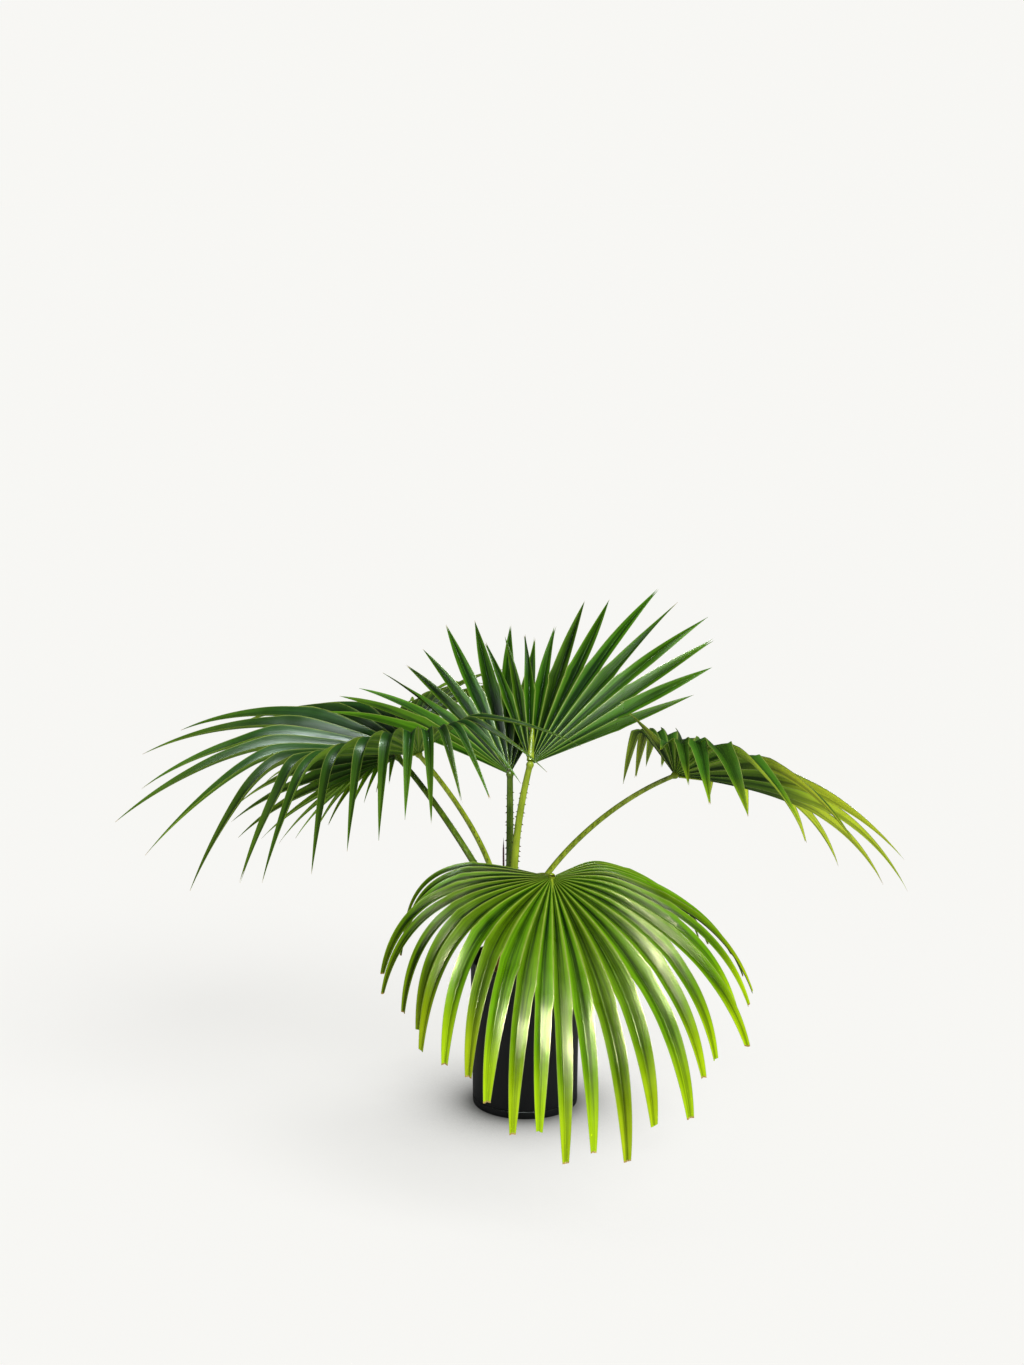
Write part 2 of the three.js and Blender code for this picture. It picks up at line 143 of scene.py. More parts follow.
class Draft:
    """Points and faces of one piece, collected in millimetres before the mesh is made."""

    def __init__(self) -> None:
        """Starts an empty draft."""
        self.points: list[np.ndarray] = []
        self.count = 0
        self.faces: list[tuple[int, ...]] = []
        self.slots: list[int] = []
        self.maps: dict[str, list[np.ndarray]] = {}

    def add(self, points: np.ndarray) -> np.ndarray:
        """Adds points.

        Args:
            points: places along the last axis.

        Returns:
            The index of each point, in the shape of the array without its last axis.
        """
        flat = np.asarray(points, float).reshape(-1, 3)
        ids = np.arange(self.count, self.count + len(flat)).reshape(np.shape(points)[:-1])
        self.points.append(flat)
        self.count += len(flat)
        return ids

    def quads(self, corners: np.ndarray, slot: np.ndarray | int = 0, **maps: np.ndarray) -> None:
        """Adds faces of four corners.

        Args:
            corners: indices, (..., 4).
            slot: material slot of each face, or one for all.
            maps: for each UV map a place per corner, (..., 4, 2).
        """
        self.faces.extend(map(tuple, corners.reshape(-1, 4).tolist()))
        self.slots.extend(np.broadcast_to(slot, corners.shape[:-1]).ravel().tolist())
        for name, places in maps.items():
            self.maps.setdefault(name, []).append(places.reshape(-1, 2))

    def tube(self, rings: np.ndarray, slot: int = 0) -> None:
        """Adds a closed skin through rings, each counter-clockwise seen from ahead.

        Args:
            rings: (rings, points a ring, 3).
            slot: material slot of the faces.
        """
        ids = self.add(rings)
        after = np.roll(ids, -1, axis=1)
        self.quads(np.stack([ids[:-1], after[:-1], after[1:], ids[1:]], -1), slot)
        for ring, row, turn in ((rings[0], ids[0], -1), (rings[-1], ids[-1], 1)):
            middle = int(self.add(ring.mean(0)[None])[0])
            for a, b in zip(row[::turn], np.roll(row[::turn], -1)):
                self.faces.append((int(a), int(b), middle))
                self.slots.append(slot)

    def slab(self, outer: np.ndarray, inner: np.ndarray, slot: int) -> None:
        """Adds a closed skin round two sheets of rows that lie one over the other."""
        self.tube(np.concatenate([outer, inner[:, ::-1]], 1), slot)

    def make(self, name: str, materials: list[bpy.types.Material], smooth_deg: float) -> bpy.types.Object:
        """Makes the piece.

        Args:
            name: the piece's name.
            materials: one for each slot.
            smooth_deg: faces that meet at less than this angle shade smoothly.

        Returns:
            The new object, in metres.
        """
        mesh = bpy.data.meshes.new(name)
        mesh.from_pydata((np.concatenate(self.points) * MM).tolist(), [], self.faces)
        for layer, places in self.maps.items():
            uv = mesh.uv_layers.new(name=layer)
            uv.uv.foreach_set("vector", np.concatenate(places).astype(np.float32).ravel())
        mesh.polygons.foreach_set("material_index", np.array(self.slots, np.int32))
        for material in materials:
            mesh.materials.append(material)
        mesh.update()
        mesh.shade_smooth()
        mesh.set_sharp_from_angle(angle=math.radians(smooth_deg))
        piece = bpy.data.objects.new(name, mesh)
        bpy.context.scene.collection.objects.link(piece)
        return piece


def settle(piece: bpy.types.Object, slot: str, *nodes: str) -> None:
    """Puts a piece on the plant's one body and hides the solids that it stands for.

    Args:
        piece: the finished piece.
        slot: not used.
        nodes: solids that the piece replaces.
    """
    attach(piece, "root")
    if nodes:
        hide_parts(*nodes)
    log.info("%s: %d faces", piece.name, len(piece.data.polygons))


# ---- Shader graphs and shared effects ------------------------------------------------------------------


class Effect(Enum):
    """The effects that several materials share, each a node group built once."""

    LEAFLET_PLACE = "LeafletPlace"
    LEAF_VEINS = "LeafVeins"
    MOTTLE = "Mottle"
    FIBRE = "Fibre"
    GRAIN = "Grain"

    def tree(self) -> bpy.types.NodeTree:
        """The effect's node group, built the first time that it is asked for.

        Returns:
            The node group.
        """
        builders = {
            Effect.LEAFLET_PLACE: build_leaflet_place,
            Effect.LEAF_VEINS: build_leaf_veins,
            Effect.MOTTLE: build_mottle,
            Effect.FIBRE: build_fibre,
            Effect.GRAIN: build_grain,
        }
        return bpy.data.node_groups.get(self.value) or builders[self]()


class Graph:
    """Short ways to place and link nodes in one node tree."""

    def __init__(self, tree: bpy.types.NodeTree) -> None:
        """Wraps a material's or a group's node tree."""
        self.tree = tree

    def feed(self, node: bpy.types.Node, inputs: dict[str | int, object]) -> None:
        """Links or sets a node's inputs.

        Args:
            node: the node that takes them.
            inputs: a socket to link or a plain value for each input.
        """
        for key, value in inputs.items():
            taker = node.inputs[key]
            if isinstance(value, bpy.types.NodeSocket):
                self.tree.links.new(value, taker)
            elif isinstance(value, tuple) and taker.type == "RGBA":
                taker.default_value = (*value, 1.0)
            else:
                taker.default_value = value

    def node(self, kind: str, inputs: dict[str | int, object] | None = None,
             **settings: object) -> bpy.types.Node:
        """Places a node.

        Args:
            kind: the node's type name.
            inputs: a value or a socket to link for each input.
            settings: the node's own settings.

        Returns:
            The new node.
        """
        node = self.tree.nodes.new(kind)
        for key, value in settings.items():
            setattr(node, key, value)
        self.feed(node, inputs or {})
        return node

    def group(self, effect: Effect, **inputs: object) -> bpy.types.NodeOutputs:
        """Places a shared effect with its own values and gives its outputs."""
        return self.node("ShaderNodeGroup", inputs, node_tree=effect.tree()).outputs

    def math(self, how: str, a: object, b: object = 0.0, c: object = 0.0,
             clamp: bool = False) -> bpy.types.NodeSocket:
        """One sum of two or three numbers."""
        return self.node("ShaderNodeMath", {0: a, 1: b, 2: c}, operation=how, use_clamp=clamp).outputs[0]

    def parts(self, a: object, a_part: float, b: object, b_part: float) -> bpy.types.NodeSocket:
        """Two numbers, each times its own part, added."""
        return self.math("ADD", self.math("MULTIPLY", a, a_part), self.math("MULTIPLY", b, b_part))

    def between(self, value: object, low: float, high: float, to_low: float = 0.0,
                to_high: float = 1.0) -> bpy.types.NodeSocket:
        """A soft step of a number.

        Args:
            value: the number.
            low: where the step starts.
            high: where it ends.
            to_low: what it gives at the start.
            to_high: what it gives at the end.

        Returns:
            The socket with the result.
        """
        inputs = {0: value, 1: low, 2: high, 3: to_low, 4: to_high}
        return self.node("ShaderNodeMapRange", inputs, interpolation_type="SMOOTHSTEP").outputs[0]

    def mixed(self, factor: object, a: object, b: object) -> bpy.types.NodeSocket:
        """Two numbers mixed: a at factor 0, b at factor 1."""
        return self.node("ShaderNodeMix", {0: factor, 2: a, 3: b}, data_type="FLOAT").outputs[0]

    def mix(self, factor: object, a: object, b: object) -> bpy.types.NodeSocket:
        """Two colours mixed: a at factor 0, b at factor 1."""
        return self.node("ShaderNodeMix", {0: factor, 6: a, 7: b}, data_type="RGBA").outputs[2]

    def where(self) -> bpy.types.NodeSocket:
        """The place on the object, in metres."""
        return self.node("ShaderNodeTexCoord").outputs["Object"]

    def drawn_out(self, place: object, x: object, y: object, z: object) -> bpy.types.NodeSocket:
        """A place times a factor along each axis."""
        scale = self.node("ShaderNodeCombineXYZ", {0: x, 1: y, 2: z}).outputs[0]
        return self.node("ShaderNodeVectorMath", {0: place, 1: scale}, operation="MULTIPLY").outputs[0]

    def noise(self, place: object, **inputs: object) -> bpy.types.NodeSocket:
        """Noise by place, with the noise node's own values."""
        return self.node("ShaderNodeTexNoise", {"Vector": place, **inputs}).outputs[0]

    def bump(self, height: object, strength: float, distance: float) -> bpy.types.NodeSocket:
        """A normal raised by a height."""
        inputs = {"Height": height, "Strength": strength, "Distance": distance}
        return self.node("ShaderNodeBump", inputs).outputs[0]


def new_group(effect: Effect, inputs: tuple[str, ...],
              outputs: tuple[str, ...]) -> tuple[Graph, dict[str, bpy.types.NodeSocket], bpy.types.Node]:
    """Starts a shader node group.

    Args:
        effect: the effect that it holds.
        inputs: names of its inputs: Place is a vector, the others are numbers.
        outputs: names of its outputs, all numbers.

    Returns:
        The group's graph, its input sockets by name and the node that takes its outputs.
    """
    tree = bpy.data.node_groups.new(effect.value, "ShaderNodeTree")
    for way, names in (("INPUT", inputs), ("OUTPUT", outputs)):
        for name in names:
            kind = "NodeSocketVector" if name == "Place" else "NodeSocketFloat"
            tree.interface.new_socket(name, in_out=way, socket_type=kind)
    source = tree.nodes.new("NodeGroupInput")
    return Graph(tree), {name: source.outputs[name] for name in inputs}, tree.nodes.new("NodeGroupOutput")


def build_leaflet_place() -> bpy.types.NodeTree:
    """Where a point lies on its leaflet, from the Leaf map.

    Returns:
        The group: nearness to the margin, part of the length gone, the leaflet's own chance and its number.
    """
    g, given, out = new_group(Effect.LEAFLET_PLACE, ("Place",), ("Margin", "Gone", "Chance", "Number"))
    across, gone, _ = g.node("ShaderNodeSeparateXYZ", {0: given["Place"]}).outputs
    signed = g.math("MULTIPLY_ADD", g.math("FRACT", across), 2.0, -1.0)
    number = g.math("FLOOR", across)
    chance = g.node("ShaderNodeTexWhiteNoise", {"W": number}, noise_dimensions="1D").outputs["Value"]
    g.feed(out, {"Margin": g.math("ABSOLUTE", signed), "Gone": gone, "Chance": chance, "Number": number})
    return g.tree


def build_leaf_veins() -> bpy.types.NodeTree:
    """Parallel veins that run along a leaflet, broad ones with finer ones among them.

    Returns:
        The group: uneven stripes, for the tint and for the height.
    """
    g, given, out = new_group(Effect.LEAF_VEINS, ("Place", "Broad", "Fine"), ("Stripe", "Height"))
    layers = []
    for key, along, detail in (("Broad", 1.6, 2.0), ("Fine", 5.0, 1.0)):
        lines = g.noise(g.drawn_out(given["Place"], given[key], along, 1.0), Scale=1.0, Detail=detail)
        layers.append(g.between(lines, 0.36, 0.64))
    stripe = g.mixed(0.35, *layers)
    g.feed(out, {"Stripe": stripe, "Height": stripe})
    return g.tree


def build_mottle() -> bpy.types.NodeTree:
    """Soft blotches by place on the object.

    Returns:
        The group: a mask from 0 to 1.
    """
    g, given, out = new_group(Effect.MOTTLE, ("Scale", "Contrast"), ("Mask",))
    blotch = g.noise(g.where(), Scale=given["Scale"], Detail=3.0)
    pulled = g.math("MULTIPLY", g.math("SUBTRACT", blotch, 0.5), given["Contrast"])
    g.feed(out, {"Mask": g.math("ADD", pulled, 0.5, clamp=True)})
    return g.tree


def build_fibre() -> bpy.types.NodeTree:
    """Upright matted strands.

    Returns:
        The group: a mask of light strands and a height.
    """
    g, given, out = new_group(Effect.FIBRE, ("Scale", "Stretch"), ("Mask", "Height"))
    drawn = g.drawn_out(g.where(), 1.0, 1.0, given["Stretch"])
    strands = g.noise(drawn, Scale=given["Scale"], Detail=6.0, Roughness=0.7, Distortion=0.4)
    g.feed(out, {"Mask": g.between(strands, 0.38, 0.62), "Height": strands})
    return g.tree


def build_grain() -> bpy.types.NodeTree:
    """Fine even grain, from moulded plastic to peat.

    Returns:
        The group: a mask of light grains and a height.
    """
    g, given, out = new_group(Effect.GRAIN, ("Scale",), ("Mask", "Height"))
    grain = g.noise(g.where(), Scale=given["Scale"], Detail=4.0, Roughness=0.6)
    g.feed(out, {"Mask": g.between(grain, 0.35, 0.65), "Height": grain})
    return g.tree


def new_material(name: str) -> tuple[Graph, bpy.types.Node, bpy.types.Node]:
    """Starts a material.

    Args:
        name: the material's name.

    Returns:
        Its graph, its Principled shader and its output node.
    """
    material = bpy.data.materials.new(name)
    material.use_nodes = True
    nodes = material.node_tree.nodes
    return Graph(material.node_tree), nodes["Principled BSDF"], nodes["Material Output"]


# ---- Finishes ------------------------------------------------------------------------------------------


@dataclass(frozen=True)
class LeafFinish:
    """One side of a fan's blade. Colours are screen codes, and places run from 0 at the hub to 1 at the tip.

    Attributes:
        name: the material's name.
        deep: the dark end of the tone: dark vein stripes, and painted shade in the valleys between ridges.
        open: colour of the open face.
        hub: colour of the ridges near the hub.
        tip: colour of the tips.
        glow: colour of the light that comes through.
        tip_from: where the tip colour starts.
        tip_full: where it is full.
        through: share of the light that comes through.
        gloss: mean roughness.
        specular: strength of the gloss.
        vary: how far leaflets and blotches differ in brightness.
        brighter_run: first and last leaflet of a run that is brighter than the rest.
    """

    name: str
    deep: int
    open: int
    hub: int
    tip: int
    glow: int
    tip_from: float = 0.6
    tip_full: float = 0.97
    through: float = 0.3
    gloss: float = 0.34
    specular: float = 0.35
    vary: float = 0.22
    brighter_run: tuple[float, float] = (0.0, 99.0)

    def build(self) -> bpy.types.Material:
        """Makes the material.

        Returns:
            The leaf's material, which reads the piece's Leaf map.
        """
        g, shader, output = new_material(self.name)
        leaf_map = g.node("ShaderNodeUVMap", uv_map="Leaf").outputs[0]
        place = g.group(Effect.LEAFLET_PLACE, Place=leaf_map)
        veins = g.group(Effect.LEAF_VEINS, Place=leaf_map, Broad=7.0, Fine=19.0)
        mottle = g.group(Effect.MOTTLE, Scale=22.0, Contrast=1.6)["Mask"]
        speck = g.group(Effect.GRAIN, Scale=900.0)["Mask"]
        light = g.parts(place["Chance"], 0.35, mottle, 0.3)
        colour = g.node("ShaderNodeHueSaturation", {
            "Hue": g.between(place["Chance"], 0.0, 1.0, 0.492, 0.508),
            "Value": g.between(light, 0.0, 0.65, 1 - self.vary, 1 + self.vary),
            "Color": self._colour(g, place, veins["Stripe"]),
        }).outputs[0]
        wear = g.math("ADD", g.math("MULTIPLY", speck, 0.3), mottle)
        g.feed(shader, {
            "Base Color": colour, "Specular IOR Level": self.specular,
            "Roughness": g.between(wear, 0.0, 1.3, self.gloss - 0.05, self.gloss + 0.16),
            "Normal": g.bump(veins["Height"], 0.35, 0.0004),
        })
        behind = g.node("ShaderNodeBsdfTranslucent", {"Color": g.mix(0.55, srgb(self.glow), colour)})
        both = g.node("ShaderNodeMixShader", {0: self.through, 1: shader.outputs[0], 2: behind.outputs[0]})
        g.feed(output, {0: both.outputs[0]})
        return bpy.data.materials[self.name]

    def _colour(self, g: Graph, place: bpy.types.NodeOutputs,
                stripe: bpy.types.NodeSocket) -> bpy.types.NodeSocket:
        """The colour by place: painted shade that darkens the valleys along the midribs and lightens toward
        the ridges, pale crests near the hub, a brighter run of leaflets, and tips that turn with age.

        Args:
            g: the material's graph.
            place: outputs of the leaflet place.
            stripe: the veins' stripes.

        Returns:
            The colour before chance and blotches change it.
        """
        first, last = self.brighter_run
        soft = 1.5  # leaflets over which the brighter run fades into the rest
        brighter_run = g.math("MULTIPLY", g.between(place["Number"], first - soft, first + soft),
                       g.between(place["Number"], last - soft, last + soft, 1.0, 0.0))
        # painted shade: the tone drops at the midrib's valley and rises toward the ridges, standing in for
        # the light and shade on the pleats
        ridge = g.between(place["Margin"], 0.1, 0.85, -0.1, 0.5)
        grown = g.between(place["Gone"], 0.12, 0.62, -0.16, 0.12)
        tone = g.math("ADD", g.math("MULTIPLY_ADD", stripe, 0.62, ridge), grown)
        tone = g.math("MULTIPLY_ADD", brighter_run, 0.3, g.math("SUBTRACT", tone, 0.25))
        colour = g.mix(tone, srgb(self.deep), srgb(self.open))
        near_hub = g.between(place["Gone"], 0.02, 0.6, 1.0, 0.1)
        crest = g.math("MULTIPLY", g.between(place["Margin"], 0.7, 0.96), near_hub)
        colour = g.mix(crest, colour, srgb(self.hub))
        late = g.math("MULTIPLY", g.between(place["Gone"], self.tip_from, self.tip_full),
                      g.between(tone, 0.0, 0.9, 0.3, 1.0))
        return g.mix(g.math("MULTIPLY", late, g.between(brighter_run, 0.0, 1.0, 0.35, 1.0)), colour, srgb(self.tip))


@dataclass(frozen=True)
class RibFinish:
    """The pale midribs and margins of the leaflets.

    Attributes:
        name: the material's name.
        pale: screen colour code where they are palest.
        green: screen colour code where they are greenest.
    """

    name: str
    pale: int
    green: int

    def build(self) -> bpy.types.Material:
        """Makes the material.

        Returns:
            The ribs' material, paler or greener by chance along their length.
        """
        g, shader, _ = new_material(self.name)
        mottle = g.group(Effect.MOTTLE, Scale=30.0, Contrast=1.8)["Mask"]
        g.feed(shader, {"Base Color": g.mix(mottle, srgb(self.pale), srgb(self.green)), "Roughness": 0.38})
        return bpy.data.materials[self.name]


@dataclass(frozen=True)
class StrandFinish:
    """Dry or woody stuff made of strands: trunk fibre, dead spear, dry tips, leaf bases and stalks.

    Attributes:
        name: the material's name.
        dark: screen colour code between the strands.
        light: screen colour code of the strands.
        scale: strands a metre, roughly.
        stretch: how little they change along their length.
        rough: mean roughness.
        relief: how far they stand up, in metres.
    """

    name: str
    dark: int
    light: int
    scale: float
    stretch: float
    rough: float
    relief: float

    def build(self) -> bpy.types.Material:
        """Makes the material.

        Returns:
            The strands' material.
        """
        g, shader, _ = new_material(self.name)
        fibre = g.group(Effect.FIBRE, Scale=self.scale, Stretch=self.stretch)
        mottle = g.group(Effect.MOTTLE, Scale=35.0, Contrast=2.2)["Mask"]
        factor = g.parts(fibre["Mask"], 0.6, mottle, 0.4)
        g.feed(shader, {
            "Base Color": g.mix(factor, srgb(self.dark), srgb(self.light)),
            "Roughness": g.between(fibre["Mask"], 0.0, 1.0, self.rough - 0.08, self.rough + 0.08),
            "Normal": g.bump(fibre["Height"], 0.6, self.relief),
        })
        return bpy.data.materials[self.name]


@dataclass(frozen=True)
class GrainFinish:
    """Stuff with an even grain: moulded plastic, peat and bark chips.

    Attributes:
        name: the material's name.
        dark: screen colour code between the grains.
        light: screen colour code of the grains.
        scale: grains a metre, roughly.
        rough: mean roughness.
        relief: how far they stand up, in metres.
        strength: share of that relief that shows.
    """

    name: str
    dark: int
    light: int
    scale: float
    rough: float
    relief: float
    strength: float

    def build(self) -> bpy.types.Material:
        """Makes the material.

        Returns:
            The grained material.
        """
        g, shader, _ = new_material(self.name)
        grain = g.group(Effect.GRAIN, Scale=self.scale)
        mottle = g.group(Effect.MOTTLE, Scale=12.0, Contrast=2.0)["Mask"]
        factor = g.parts(grain["Mask"], 0.6, mottle, 0.4)
        g.feed(shader, {
            "Base Color": g.mix(factor, srgb(self.dark), srgb(self.light)),
            "Roughness": g.between(factor, 0.0, 1.0, self.rough - 0.06, self.rough + 0.1),
            "Normal": g.bump(grain["Height"], self.strength, self.relief),
        })
        return bpy.data.materials[self.name]


# ---- The fans' rule ------------------------------------------------------------------------------------


@dataclass(frozen=True)
class Jitter:
    """How far a free leaflet strays from the fan's own rule, in either direction.

    Attributes:
        length: as a part of its length.
        droop: as a part of its droop.
        side: sideways over its length, in radians.
        twist: about its own line at the tip, in radians.
    """

    length: float = 0.05
    droop: float = 0.2
    side: float = 0.06
    twist: float = 0.3


@dataclass(frozen=True)
class FanRule:
    """One fan. Angles are degrees, and a list runs evenly from the fan's first edge to its last.

    Attributes:
        name: the fan's name, as in its solids' names.
        azimuth: where its middle points, round the plant.
        pitch: how far its middle points up.
        roll: how far it leans over its middle.
        fan: fan angles of its two edges.
        reach: length of its lines from the hub.
        lift: how far the lines start off the fan's plane.
        droop: how far they bow down over their length, in radians.
        fold: a sharper bend down, in radians.
        fold_at: part of the length gone at that bend.
        split: part of the length gone where leaflets come free.
        taper: how late a free leaflet narrows.
        seed: where its row of chance starts.
        sectors: leaflets of each of the blade's solids.
        stalk: foot, two pulls and hub of the stalk's curve.
        spread: how far its sides are drawn outward as they fall.
        bow: how late the droop comes.
        stray: how much more than the others it leans and twists its leaflets.
        cut: width of the blunt tips, as a part of the leaflet's.
        hub_radius: radius of the stalk's knuckle.
        fold_width: part of the length that the sharper bend takes.
        steps: steps along each line.
    """

    name: str
    azimuth: float
    pitch: float
    roll: float
    fan: tuple[float, float]
    reach: tuple[float, ...]
    lift: tuple[float, ...]
    droop: tuple[float, ...]
    fold: tuple[float, ...]
    fold_at: tuple[float, ...]
    split: tuple[float, ...]
    taper: float
    seed: int
    sectors: tuple[int, ...]
    stalk: tuple[tuple[float, ...], ...]
    spread: float = 0.0
    bow: float = 1.0
    stray: float = 1.0
    cut: float = 0.0
    hub_radius: float = 8.0
    fold_width: float = 0.08
    steps: int = 160

    @property
    def count(self) -> int:
        """How many leaflets the fan has."""
        return sum(self.sectors)

    @property
    def hub(self) -> np.ndarray:
        """The middle of the stalk's knuckle."""
        return np.array(self.stalk[3], float)

    def axes(self) -> tuple[np.ndarray, np.ndarray, np.ndarray]:
        """The fan's own axes.

        Returns:
            Ahead down the middle of the fan, side where the fan angle grows, and the upper face.
        """
        az, pitch, roll = (math.radians(a) for a in (self.azimuth, self.pitch, self.roll))
        ahead = np.array([math.cos(pitch) * math.cos(az), math.cos(pitch) * math.sin(az), math.sin(pitch)])
        level = unit(np.cross(ahead, UP))
        side = level * math.cos(roll) + np.cross(level, ahead) * math.sin(roll)
        return ahead, side, np.cross(side, ahead)

    def across(self, key: str, theta: np.ndarray) -> np.ndarray:
        """A fan value at fan angles: a smooth curve through its list, whose ends are repeated.

        Args:
            key: name of the list.
            theta: fan angles.

        Returns:
            The value at each angle.
        """
        listed = np.array(getattr(self, key), float)
        last = len(listed) - 1
        if last == 0:
            return np.full(len(theta), listed[0])
        x = last * (theta - self.fan[0]) / (self.fan[1] - self.fan[0])
        i = np.clip(np.floor(x), 0, last - 1).astype(int)
        t = x - i
        a, b, c, d = (listed[np.clip(i + k, 0, last)] for k in (-1, 0, 1, 2))
        square, cube = 2 * a - 5 * b + 4 * c - d, 3 * b - a - 3 * c + d
        return 0.5 * (2 * b + (c - a) * t + square * t**2 + cube * t**3)

    def lines(self, theta: np.ndarray, loose: dict[str, np.ndarray] | None = None) -> "Lines":
        """The lines that leave the hub at some fan angles.

        Args:
            theta: the fan angles.
            loose: how each line strays in length, droop and side once it is free.

        Returns:
            The lines.
        """
        still = np.zeros(len(theta))
        loose = loose or {"length": still, "droop": still, "side": still}
        ahead, side, face = self.axes()
        length = self.across("reach", theta) * (1 + loose["length"])
        lift = np.radians(self.across("lift", theta))[:, None]
        droop, fold, fold_at, split = (self.across(k, theta) for k in ("droop", "fold", "fold_at", "split"))
        turn = np.radians(theta)[:, None]
        flat = ahead * np.cos(turn) + side * np.sin(turn)
        way = unit(flat * np.cos(lift) + face * np.sin(lift))
        outward = unit(np.cross(ahead, UP)) * self.spread * np.sin(turn)
        pull = unit(outward - UP)
        points = [self.hub + way * self.hub_radius]
        ways = [way]
        part = ((length - self.hub_radius) / self.steps / length)[:, None]
        for i in range(self.steps):
            u = (i + 0.5) / self.steps
            bell = np.exp(-(((u - fold_at) / self.fold_width) ** 2)) / (self.fold_width * math.sqrt(math.pi))
            free = u > split
            bow = droop * (1 + self.bow) * u**self.bow
            bend = ((bow + fold * bell) * np.where(free, 1 + loose["droop"], 1.0))[:, None]
            sideways = unit(np.cross(UP, way)) * np.where(free, loose["side"], 0.0)[:, None]
            down = pull - (pull * way).sum(1, keepdims=True) * way
            way = unit(way + (down * bend + sideways) * part)
            points.append(points[-1] + way * part * length[:, None])
            ways.append(way)
        return Lines(np.stack(points, 1), np.stack(ways, 1), split, length)


@dataclass
class Lines:
    """Lines of a fan.

    Attributes:
        points: points at even parts of each line's length.
        ways: ways on at those points.
        split: part of the length gone where each comes free.
        length: length of each.
    """

    points: np.ndarray
    ways: np.ndarray
    split: np.ndarray
    length: np.ndarray

    def _pick(self, rows: np.ndarray, u: np.ndarray) -> np.ndarray:
        """Rows read between two steps.

        Args:
            rows: a row of values a line, at even parts of its length.
            u: parts of the length gone, a row of them a line.

        Returns:
            The values there.
        """
        steps = rows.shape[1] - 1
        x = np.clip(u * steps, 0, steps - 1e-9)
        i = np.floor(x).astype(int)
        n = np.arange(len(rows)).reshape(-1, *[1] * (u.ndim - 1))
        t = (x - i)[..., None]
        return rows[n, i] * (1 - t) + rows[n, i + 1] * t

    def at(self, u: np.ndarray) -> np.ndarray:
        """Points of the lines at the parts of their length gone, one row of parts a line."""
        return self._pick(self.points, u)

    def way(self, u: np.ndarray) -> np.ndarray:
        """Ways of the lines at the parts of their length gone."""
        return unit(self._pick(self.ways, u))


FANS = (
    FanRule(
        "right", 1, -18, 12, (-156, 146),
        reach=(285, 325, 470, 520, 450, 280, 200), lift=(36, 36, 20, 10, 24, 43, 29),
        droop=(0.6, 0.7, 0.85, 1.15, 0.85, 0.35, 0.05), fold=(2.3, 1.6, 0.9, 0.1, 0.45, 1.9, 0),
        fold_at=(0.42, 0.45, 0.51, 0.53, 0.47, 0.43, 0.45), split=(0.42, 0.42, 0.42, 0.44, 0.46, 0.45, 0.4),
        taper=1.4, seed=14, sectors=(5, 5, 5, 4), spread=0.7,
        stalk=((-6, -4), (25, -7, 480), (150, -18, 620), (289, -32, 680)),
    ),
    FanRule(
        "left_a", 188, -10, 5, (-158, 112),
        reach=(370, 345, 440, 560, 595, 425, 190), lift=(34, 36, 35, 20, 18, 20, 12),
        droop=(0.45, 0.45, 0.7, 0.65, 0.6, 0.45, 0.3), fold=(0.7, 1.4, 1.9, 0.9, 0.2, 0.4, 0.4),
        fold_at=(0.35, 0.5, 0.56, 0.52, 0.46, 0.42, 0.4), split=(0.4, 0.4, 0.43, 0.47, 0.45, 0.42, 0.42),
        taper=1.4, seed=21, sectors=(6, 6, 6, 6),
        stalk=((-46, -8), (-48, -10, 480), (-105, -30, 600), (-205, -60, 729)),
    ),
    FanRule(
        "left_b", 150, -14, 12, (-125, 145),
        reach=(150, 205, 320, 465, 375, 345, 335), lift=(20, 9, -5, 3, 13, 28, 28),
        droop=(0.8, 0.8, 0.65, 0.6, 0.65, 0.7, 0.7), fold=(0.4, 0.4, 0, 0, 0.2, 0.4, 0.5),
        fold_at=(0.45,), split=(0.45,),
        taper=1.4, seed=61, sectors=(8, 8, 8),
        stalk=((-46, 12), (-70, 18, 450), (-185, 92, 610), (-254, 150, 669)),
    ),
    FanRule(
        "up_left", 90, 42, -6, (-90, 25),
        reach=(445, 330, 330, 380, 330), lift=(32, 20, 9, 2, -2),
        droop=(0.35, 0.4, 0.2, 0.1, 0.1), fold=(0,), fold_at=(0.5,), split=(0.5,),
        taper=1.6, seed=599, sectors=(5, 6), stray=3,
        stalk=((-31, 14), (-30, 15, 480), (-30, 20, 580), (-30, 30, 665)),
    ),
    FanRule(
        "up_right", 90, 43, 4, (-20, 76),
        reach=(300, 320, 440, 470, 335), lift=(8, 4, 6, 9, 13),
        droop=(0.1, 0.12, 0.18, 0.15, 0.05), fold=(0,), fold_at=(0.5,), split=(0.5,),
        taper=1.6, seed=184, sectors=(6, 6), stray=4,
        stalk=((-22, -6), (-28, -6, 480), (-14, -4, 600), (9, 0, 692)),
    ),
    FanRule(
        "front", -82, -8, 16, (-100, 96),
        reach=(350, 450, 535, 598, 548, 430, 330), lift=(36, 26, 4, -13, -4, -7, -2),
        droop=(1.3, 1.3, 1.9, 2.5, 2.6, 2.6, 2.4), fold=(0.7, 0.45, 0.1, 0, 0, 0, 0),
        fold_at=(0.22,), split=(0.4, 0.45, 0.5, 0.54, 0.5, 0.45, 0.4),
        taper=2.2, cut=0.36, seed=33, sectors=(7, 7, 7, 7), bow=1.8,
        stalk=((-25, -27), (-20, -80, 470), (20, -190, 540), (47, -290, 553)),
    ),
)


# ---- Blades --------------------------------------------------------------------------------------------


class Face(Enum):
    """The material slots of a blade."""

    UPPER = 0
    UNDER = 1
    RIB = 2
    DRY = 3


def cells(grid: np.ndarray, order: int) -> np.ndarray:
    """The four corners of each cell, counter-clockwise seen from above for order 1 and from below for -1."""
    return np.stack([grid[:, :-1, :-1], grid[:, :-1, 1:], grid[:, 1:, 1:], grid[:, 1:, :-1]][::order], 3)


